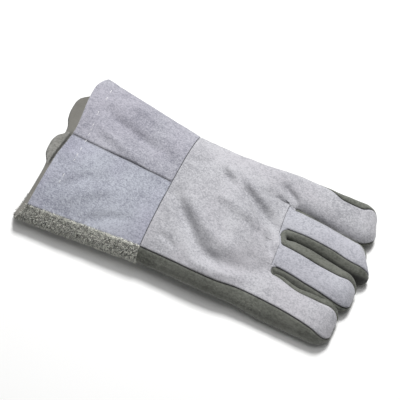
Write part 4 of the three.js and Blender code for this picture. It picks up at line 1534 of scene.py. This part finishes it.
@dataclass
class Threads:
    """Stitches of one thread, laid on the leather that lies under them."""

    name: str
    slot: str
    color: tuple[float, float, float]
    steps: int = 8
    around: int = 8

    def lay(self, stitch: Stitch, tree: BVHTree) -> np.ndarray:
        """Returns the rings of points of one stitch, closed at both ends.

        Args:
            stitch: The stitch.
            tree: The leather that it is sewn through.
        """
        share = np.linspace(0.0, 1.0, self.steps)
        rings = []
        way = Vector((*stitch.end, 0.0)) - Vector((*stitch.start, 0.0))
        for part in share:
            above = Vector((*stitch.start, 0.2)) + way * float(part)
            spot, normal, _, _ = tree.ray_cast(above, Vector((0, 0, -1)))
            side = normal.cross(way).normalized()
            arch = math.sin(math.pi * part)
            centre = spot + normal * (stitch.height * arch - stitch.sunk * (1 - arch))
            thick = stitch.radius * (0.75 + 0.25 * arch)
            rings.append([centre + (side * math.cos(turn) + normal * math.sin(turn)) * thick
                          for turn in np.arange(self.around + 1) * 2 * math.pi / self.around])
        ends = [[sum(ring[:-1], Vector()) / self.around] * (self.around + 1)
                for ring in (rings[0], rings[-1])]
        return np.array([[tuple(spot) for spot in ring] for ring in (ends[0], *rings, ends[1])])

    def build(self, stitches: list[Stitch], tree: BVHTree) -> bpy.types.Object:
        """Makes all the stitches as one piece."""
        laid = [self.lay(stitch, tree) for stitch in stitches]
        rows = len(laid[0])
        points = np.concatenate(laid)
        keep = np.ones((len(points) - 1, self.around), bool)
        keep[rows - 1::rows] = False
        bm = grid_mesh(points, keep, False)
        bmesh.ops.remove_doubles(bm, verts=bm.verts[:], dist=0.001 * MM)
        bmesh.ops.recalc_face_normals(bm, faces=bm.faces[:])
        bm.verts.layers.int.remove(bm.verts.layers.int["row"])
        bm.verts.layers.int.remove(bm.verts.layers.int["column"])
        piece = to_object(bm, self.name)
        piece.data.materials.append(self.material())
        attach(piece, "root")
        return piece

    def material(self) -> bpy.types.Material:
        """Makes the thread's material."""
        material = bpy.data.materials.new(self.name)
        material.use_nodes = True
        shader = material.node_tree.nodes["Principled BSDF"]
        shader.inputs["Base Color"].default_value = (*self.color, 1.0)
        shader.inputs["Roughness"].default_value = 0.7
        return material


def panel_tree(panels: list[Panel]) -> BVHTree:
    """Returns a search tree of some shaped panels' outer faces."""
    spots, faces = [], []
    for panel in panels:
        rows, columns = np.nonzero(panel.keep)
        wide = panel.shaped.shape[1]
        corner = rows * wide + columns + len(spots)
        faces += np.stack([corner, corner + wide, corner + wide + 1, corner + 1], -1).tolist()
        spots += np.nan_to_num(panel.shaped.reshape(-1, 3)).tolist()
    return BVHTree.FromPolygons(spots, faces)


@dataclass
class Thumb:
    """The thumb under the palm: a flattened form with a seam round it, open to the hand."""

    skin: Skin
    around: int = 96
    levels: int = 40
    seam_rise: float = 0.5 * MM
    relief: Relief = field(default_factory=lambda: Relief(wave=0.7 * MM, pucker=0.3 * MM))

    def inside_mouth(self, x: np.ndarray, y: np.ndarray, grow: float = 0.0) -> np.ndarray:
        """Returns which places, in the skin's own X and Y, lie over the oval opening."""
        size = self.skin.sizes
        root_x, root_y = self.skin.thumb_root()
        turn = math.radians(size.thumb_turn)
        along = (x - root_x) * math.cos(turn) + (y - root_y) * math.sin(turn) - size.thumb_mouth_length * 0.3
        across = (y - root_y) * math.cos(turn) - (x - root_x) * math.sin(turn)
        length, width = size.thumb_mouth_length / 2 + grow, size.thumb_mouth_width / 2 + grow
        return (along / length) ** 2 + (across / width) ** 2 < 1

    def build(self, leather: float) -> bpy.types.Object:
        """Makes the thumb's piece.

        Args:
            leather: How thick its leather is.
        """
        size = self.skin.sizes
        radius, half = size.thumb_width / 2, size.thumb_height / 2
        rise = np.linspace(-math.pi / 2, math.pi / 2, self.levels + 1)[:, None]
        turn = np.linspace(0, 2 * math.pi, self.around + 1)[None, :]
        level = np.tanh(size.thumb_flatness * 1.5 * np.sin(rise)) / math.tanh(size.thumb_flatness * 1.5)
        out = radius * np.cos(rise) ** 0.75
        x = out * np.cos(turn) + np.where(np.cos(turn) > 0, size.thumb_core, 0.0)
        points = np.stack(np.broadcast_arrays(x, out * np.sin(turn), half * (1 + level)), -1)
        face = math.radians(size.thumb_turn)
        root_x, root_y = self.skin.thumb_root()
        spun = points.copy()
        spun[..., 0] = root_x + points[..., 0] * math.cos(face) - points[..., 1] * math.sin(face)
        spun[..., 1] = root_y + points[..., 0] * math.sin(face) + points[..., 1] * math.cos(face)
        middle = (spun[:-1, :-1] + spun[1:, 1:]) / 2
        keep = ~(self.inside_mouth(middle[..., 0], middle[..., 1]) & (middle[..., 2] > half))
        spun += self.skin.origin
        bm = grid_mesh(spun, keep, False)
        bmesh.ops.remove_doubles(bm, verts=bm.verts[:], dist=0.01 * MM)
        bmesh.ops.recalc_face_normals(bm, faces=bm.faces[:])
        bm.normal_update()
        crease_line_and_shade_layer = bm.verts.layers.float.new("crease")
        for vert in bm.verts:
            seam = abs(vert.co.z - self.skin.origin[2] - half)
            swell = self.seam_rise * math.exp(-(((seam - 1.6 * MM) / (1.0 * MM)) ** 2))
            rise_here = self.relief.height(vert.co, vert.co, 1.0) + swell
            vert.co += vert.normal * rise_here
            # Painted shade along the thumb's seam, together with the seam's own dark line
            vert[crease_line_and_shade_layer] = 0.9 * max(0.0, 1 - seam / (1.0 * MM))
        for vert in bm.verts:
            vert.co.z = min(max(vert.co.z, 0.0), self.skin.origin[2] + size.thumb_height)
        bm.verts.layers.int.remove(bm.verts.layers.int["row"])
        bm.verts.layers.int.remove(bm.verts.layers.int["column"])
        piece = to_object(bm, "thumb_leather")
        thicken(piece, leather)
        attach(piece, "root")
        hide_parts("thumb")
        return piece


@dataclass
class Studio:
    """Pale floor, soft light from behind the glove, and the camera at the photo's angle."""

    azimuth: float = 27.5
    elevation: float = 60.0
    distance: float = 0.944
    lens: float = 85.0
    target: tuple[float, float, float] = (-0.006, 0.008, 0.012)
    floor_size: float = 6.0
    world_light: float = 0.16

    def floor(self) -> None:
        """Makes the floor."""
        bm = bmesh.new()
        bmesh.ops.create_grid(bm, x_segments=1, y_segments=1, size=self.floor_size / 2)
        bmesh.ops.translate(bm, verts=bm.verts[:], vec=(0, 0, -0.1 * MM))
        piece = to_object(bm, "floor")
        material = bpy.data.materials.new("floor_paper")
        material.use_nodes = True
        shader = material.node_tree.nodes["Principled BSDF"]
        shader.inputs["Base Color"].default_value = (0.93, 0.93, 0.925, 1)
        shader.inputs["Roughness"].default_value = 0.9
        shader.inputs["Specular IOR Level"].default_value = 0.0
        piece.data.materials.append(material)

    def light(self, name: str, place: tuple[float, float, float], size: float, power: float) -> None:
        """Adds a square area light that points at the glove."""
        lamp = bpy.data.lights.new(name, "AREA")
        lamp.size = size
        lamp.energy = power
        holder = bpy.data.objects.new(name, lamp)
        holder.location = place
        way = Vector(self.target) - Vector(place)
        holder.rotation_euler = way.to_track_quat("-Z", "Y").to_euler()
        bpy.context.scene.collection.objects.link(holder)

    def camera(self) -> None:
        """Makes the camera and gives it to the scene."""
        turn, rise = math.radians(self.azimuth), math.radians(self.elevation)
        back = Vector((math.sin(turn) * math.cos(rise), -math.cos(turn) * math.cos(rise), math.sin(rise)))
        data = bpy.data.cameras.new("camera")
        data.lens = self.lens
        data.sensor_width = 36.0
        holder = bpy.data.objects.new("camera", data)
        holder.location = Vector(self.target) + back * self.distance
        holder.rotation_euler = (-back).to_track_quat("-Z", "Y").to_euler()
        bpy.context.scene.collection.objects.link(holder)
        bpy.context.scene.camera = holder

    def build(self) -> None:
        """Makes the whole studio."""
        self.floor()
        self.camera()
        world = bpy.data.worlds.new("soft_room")
        world.use_nodes = True
        world.node_tree.nodes["Background"].inputs["Color"].default_value = (1.0, 1.0, 1.0, 1)
        world.node_tree.nodes["Background"].inputs["Strength"].default_value = self.world_light
        bpy.context.scene.world = world
        bpy.context.scene.view_settings.view_transform = "Standard"
        for lamp in LAMPS:
            self.light(*lamp)


# Name, place, size and power of each lamp
LAMPS = (
    ("key", (-0.1, 0.85, 1.5), 0.42, 29.0),
    ("top", (0.0, 0.2, 1.9), 0.9, 8.5),
)

# Columns by which the cuff's seam lies nearer than the middle finger's near seam
CUFF_SEAM_SHIFT = 4

# Shares of the mouth's half width between which the cuff's inner face is rough
ROUGH_SHARES = (-0.22, 0.24)

# Visible hem stitches: shares along and across the cuff, length, and lean from Y in degrees
HEM_STITCHES = (
    (0.135, 0.83, 6.0 * MM, -6), (0.149, 0.71, 4.5 * MM, -8), (0.160, 0.50, 3.4 * MM, -14),
    (0.168, 0.455, 2.6 * MM, 8), (0.197, 0.30, 3.0 * MM, -8), (0.205, 0.235, 2.6 * MM, 14),
    (0.214, 0.17, 3.2 * MM, -6), (0.222, 0.08, 3.6 * MM, 4), (0.230, -0.04, 4.2 * MM, -8),
    (0.233, -0.13, 4.6 * MM, -6), (0.236, -0.2, 3.6 * MM, 10), (0.23, -0.42, 5.0 * MM, -4),
    (0.228, -0.5, 4.0 * MM, -4),
)

PILES = {
    "rough_pile": Pile(),
    "rough_pile_fine": Pile(count=10500, length=1.7 * MM, radius=0.26 * MM, seed=31),
}

# The tufts that hang over the seam, and how many columns beside it they stand on
EDGE_PILE = Pile(count=1500, length=3.0 * MM, radius=0.38 * MM, seed=47, over=0.75)
EDGE_PILE_COLUMNS = 2

FUZZ = Pile(count=420, lean=0.52, length=1.3 * MM, radius=0.16 * MM, seed=5,
            dark=(0.2, 0.2, 0.17), light=(0.55, 0.54, 0.48))

# Shares of each strip's depth over which painted shade darkens its right flank, from the little finger on
WALL_GAP_SHADES = ((0.62, 0.95), (0.24, 0.5), (0.24, 0.5))


@dataclass
class Glove:
    """The whole gauntlet: its panels, pile, thumb and stitches."""

    sizes: GloveSizes = field(default_factory=GloveSizes)

    def lattices(self) -> None:
        """Works out the lattices and which cells each stretch has."""
        self.skin = Skin(self.sizes)
        self.thumb = Thumb(self.skin)
        self.back = self.skin.lattice(Side.BACK)
        self.under = self.skin.lattice(Side.PALM)
        self.walls = [self.skin.wall(index) for index in range(3)]

    @staticmethod
    def real_cells(lattice: Lattice) -> np.ndarray:
        """Returns which cells of a lattice have skin at all four corners."""
        here = ~np.isnan(lattice.points[..., 0])
        return here[:-1, :-1] & here[1:, :-1] & here[:-1, 1:] & here[1:, 1:]

    def panels(self) -> list[Panel]:
        """Returns all the leather panels, thumb apart."""
        size, back, under = self.sizes, self.back, self.under
        cells = self.real_cells(back)
        rows = np.arange(cells.shape[0])[:, None]
        columns = np.arange(cells.shape[1])[None, :]
        wrist, crotch = back.stations.first(Part.HAND), back.stations.first(Part.FINGER)
        gunn = int(np.argmin(np.abs(back.stations.along[wrist:crotch] - size.gunn_start))) + wrist
        middle = int(np.argmax(back.columns.finger == 2)) - CUFF_SEAM_SHIFT
        ring = int(np.argmax(back.columns.finger == 1))
        middle_end = int(np.nonzero(back.columns.finger == 2)[0][-1])
        in_gunn = (rows >= gunn) & (columns >= ring) & (columns < middle_end)
        made = [
            BackPanel("cuff_back_upper_leather", ("cuff_back_upper",), "cuff_suede", back,
                      cells & (rows < wrist) & (columns >= middle), size.leather * 0.92, skin=self.skin),
            BackPanel("cuff_back_lower_leather", ("cuff_back_lower",), "cuff_suede", back,
                      cells & (rows < wrist) & (columns < middle), size.leather * 0.92, skin=self.skin),
            BackPanel("hand_back_leather", ("hand_back",), "hand_suede", back,
                      cells & (rows >= wrist) & ~in_gunn, size.leather, skin=self.skin),
            BackPanel("middle_ring_back_leather", ("middle_ring_back",), "finger_suede", back,
                      cells & (rows >= wrist) & in_gunn, size.leather, skin=self.skin,
                      gunn_side=EdgeKind.GUNN_UNDER),
        ]
        under_cells = self.real_cells(under)
        under_wrist = under.stations.first(Part.HAND)
        under_rows = np.arange(under_cells.shape[0])[:, None]
        made.append(PalmPanel("cuff_palm_leather", ("cuff_palm",), "rough_split", under,
                              under_cells & (under_rows < under_wrist), size.leather, skin=self.skin))
        spot = (under.points - self.skin.origin)[:-1, :-1]
        wrapped = (under.columns.strip < 0) | (under.columns.strip > 1)
        mouth = self.thumb.inside_mouth(spot[..., 0], spot[..., 1]) & ~wrapped[None, :-1]
        made.append(PalmPanel("palm_leather", ("palm",), "palm_leather", under,
                              under_cells & (under_rows >= under_wrist) & ~mouth, size.leather))
        for index, lattice in enumerate(self.walls):
            pair = f"{FINGERS[index].name}_{FINGERS[index + 1].name}"
            made.append(WallPanel(f"fourchette_{pair}_leather", (f"fourchette_{pair}",), "palm_leather",
                                  lattice, self.real_cells(lattice), size.leather * 0.8,
                                  right_edge_shaded=index == 0, right_gap_shade=WALL_GAP_SHADES[index]))
        return made

    def build(self) -> None:
        """Makes every piece and dresses it."""
        self.lattices()
        group = leather_group()
        materials: dict[str, bpy.types.Material] = {}
        for finish in (SUEDE_HAND, SUEDE_FINGER, SUEDE_UPPER, SUEDE_LOWER, OLIVE, ROUGH, TAUPE, SPECKLED):
            materials[finish.name] = leather_material(finish, group)
        panels = self.panels()
        for panel in panels:
            piece = panel.build()
            piece.data.materials.append(materials[FINISHES.get(panel.name, OLIVE).name])
            if panel.name == "cuff_palm_leather":
                self.dress_cuff_palm(panel, piece, materials)
            if panel.name == "palm_leather":
                self.fuzz(panel)
            logger.info("%s: %d faces", piece.name, len(piece.data.polygons))
        thumb = self.thumb.build(self.sizes.leather)
        thumb.data.materials.append(materials[OLIVE.name])
        self.stitches(panels)

    def dress_cuff_palm(self, panel: Panel, piece: bpy.types.Object, materials: dict) -> None:
        """Gives the cuff's palm side its inner faces' leathers, and the pile of its wrapped side.

        Args:
            panel: The panel.
            piece: The panel's object, which has the rough leather in its first slot.
            materials: All the leathers by name.
        """
        for finish in (TAUPE, ROUGH, SPECKLED):
            piece.data.materials.append(materials[finish.name])
        piece.modifiers["leather"].material_offset = 1
        columns = panel.lattice.columns
        low, high = ROUGH_SHARES
        for face in piece.data.polygons:
            middle = face.center
            across = (middle.y - self.skin.origin[1]) / (self.sizes.mouth_width / 2)
            if low < across < high:
                face.material_index = 2
        wrapped = (columns.finger == 0) & (columns.strip < 0.25)
        cells = panel.keep & wrapped[None, :-1]
        beside = np.arange(cells.shape[1]) < EDGE_PILE_COLUMNS
        for name, pile, where in (
                *((name, pile, cells) for name, pile in PILES.items()),
                ("rough_pile_edge", EDGE_PILE, cells & beside[None, :])):
            tufts = pile.build(panel, where, name)
            tufts.data.materials.append(pile_material(name, pile.dark, pile.light))

    def fuzz(self, panel: Panel) -> None:
        """Scatters a little loose fuzz on the olive strip up the hand's near side."""
        columns, stations = panel.lattice.columns, panel.lattice.stations
        wrapped = (columns.finger == 0) & (columns.strip < -0.1)
        rows = stations.part == Part.HAND.value
        cells = panel.keep & wrapped[None, :-1] & rows[:-1, None]
        tufts = FUZZ.build(panel, cells, "strip_fuzz")
        tufts.data.materials.append(pile_material("strip_fuzz", FUZZ.dark, FUZZ.light))

    def stitches(self, panels: list[Panel]) -> None:
        """Sews the stitches that show on the hem."""
        tree = panel_tree(panels[:3])
        lines = []
        for along, across, length, lean in HEM_STITCHES:
            width = mix(self.sizes.mouth_width, self.sizes.wrist_width, along)
            middle = along * HAND_STATIONS[0].mid * self.sizes.wrist_width
            x = self.skin.origin[0] + along * self.sizes.cuff_length
            y = self.skin.origin[1] + middle + across * width / 2
            way = np.array([math.sin(math.radians(lean)), math.cos(math.radians(lean))]) * length / 2
            lines.append(Stitch((x - way[0], y - way[1]), (x + way[0], y + way[1])))
        Threads("hem_stitches", "cuff_suede", (0.8, 0.8, 0.8)).build(lines, tree)


def main() -> None:
    """Builds the glove and the studio."""
    logging.basicConfig(level=logging.INFO, format="%(message)s")
    Studio().build()
    Glove().build()


if __name__ == "__main__":
    main()
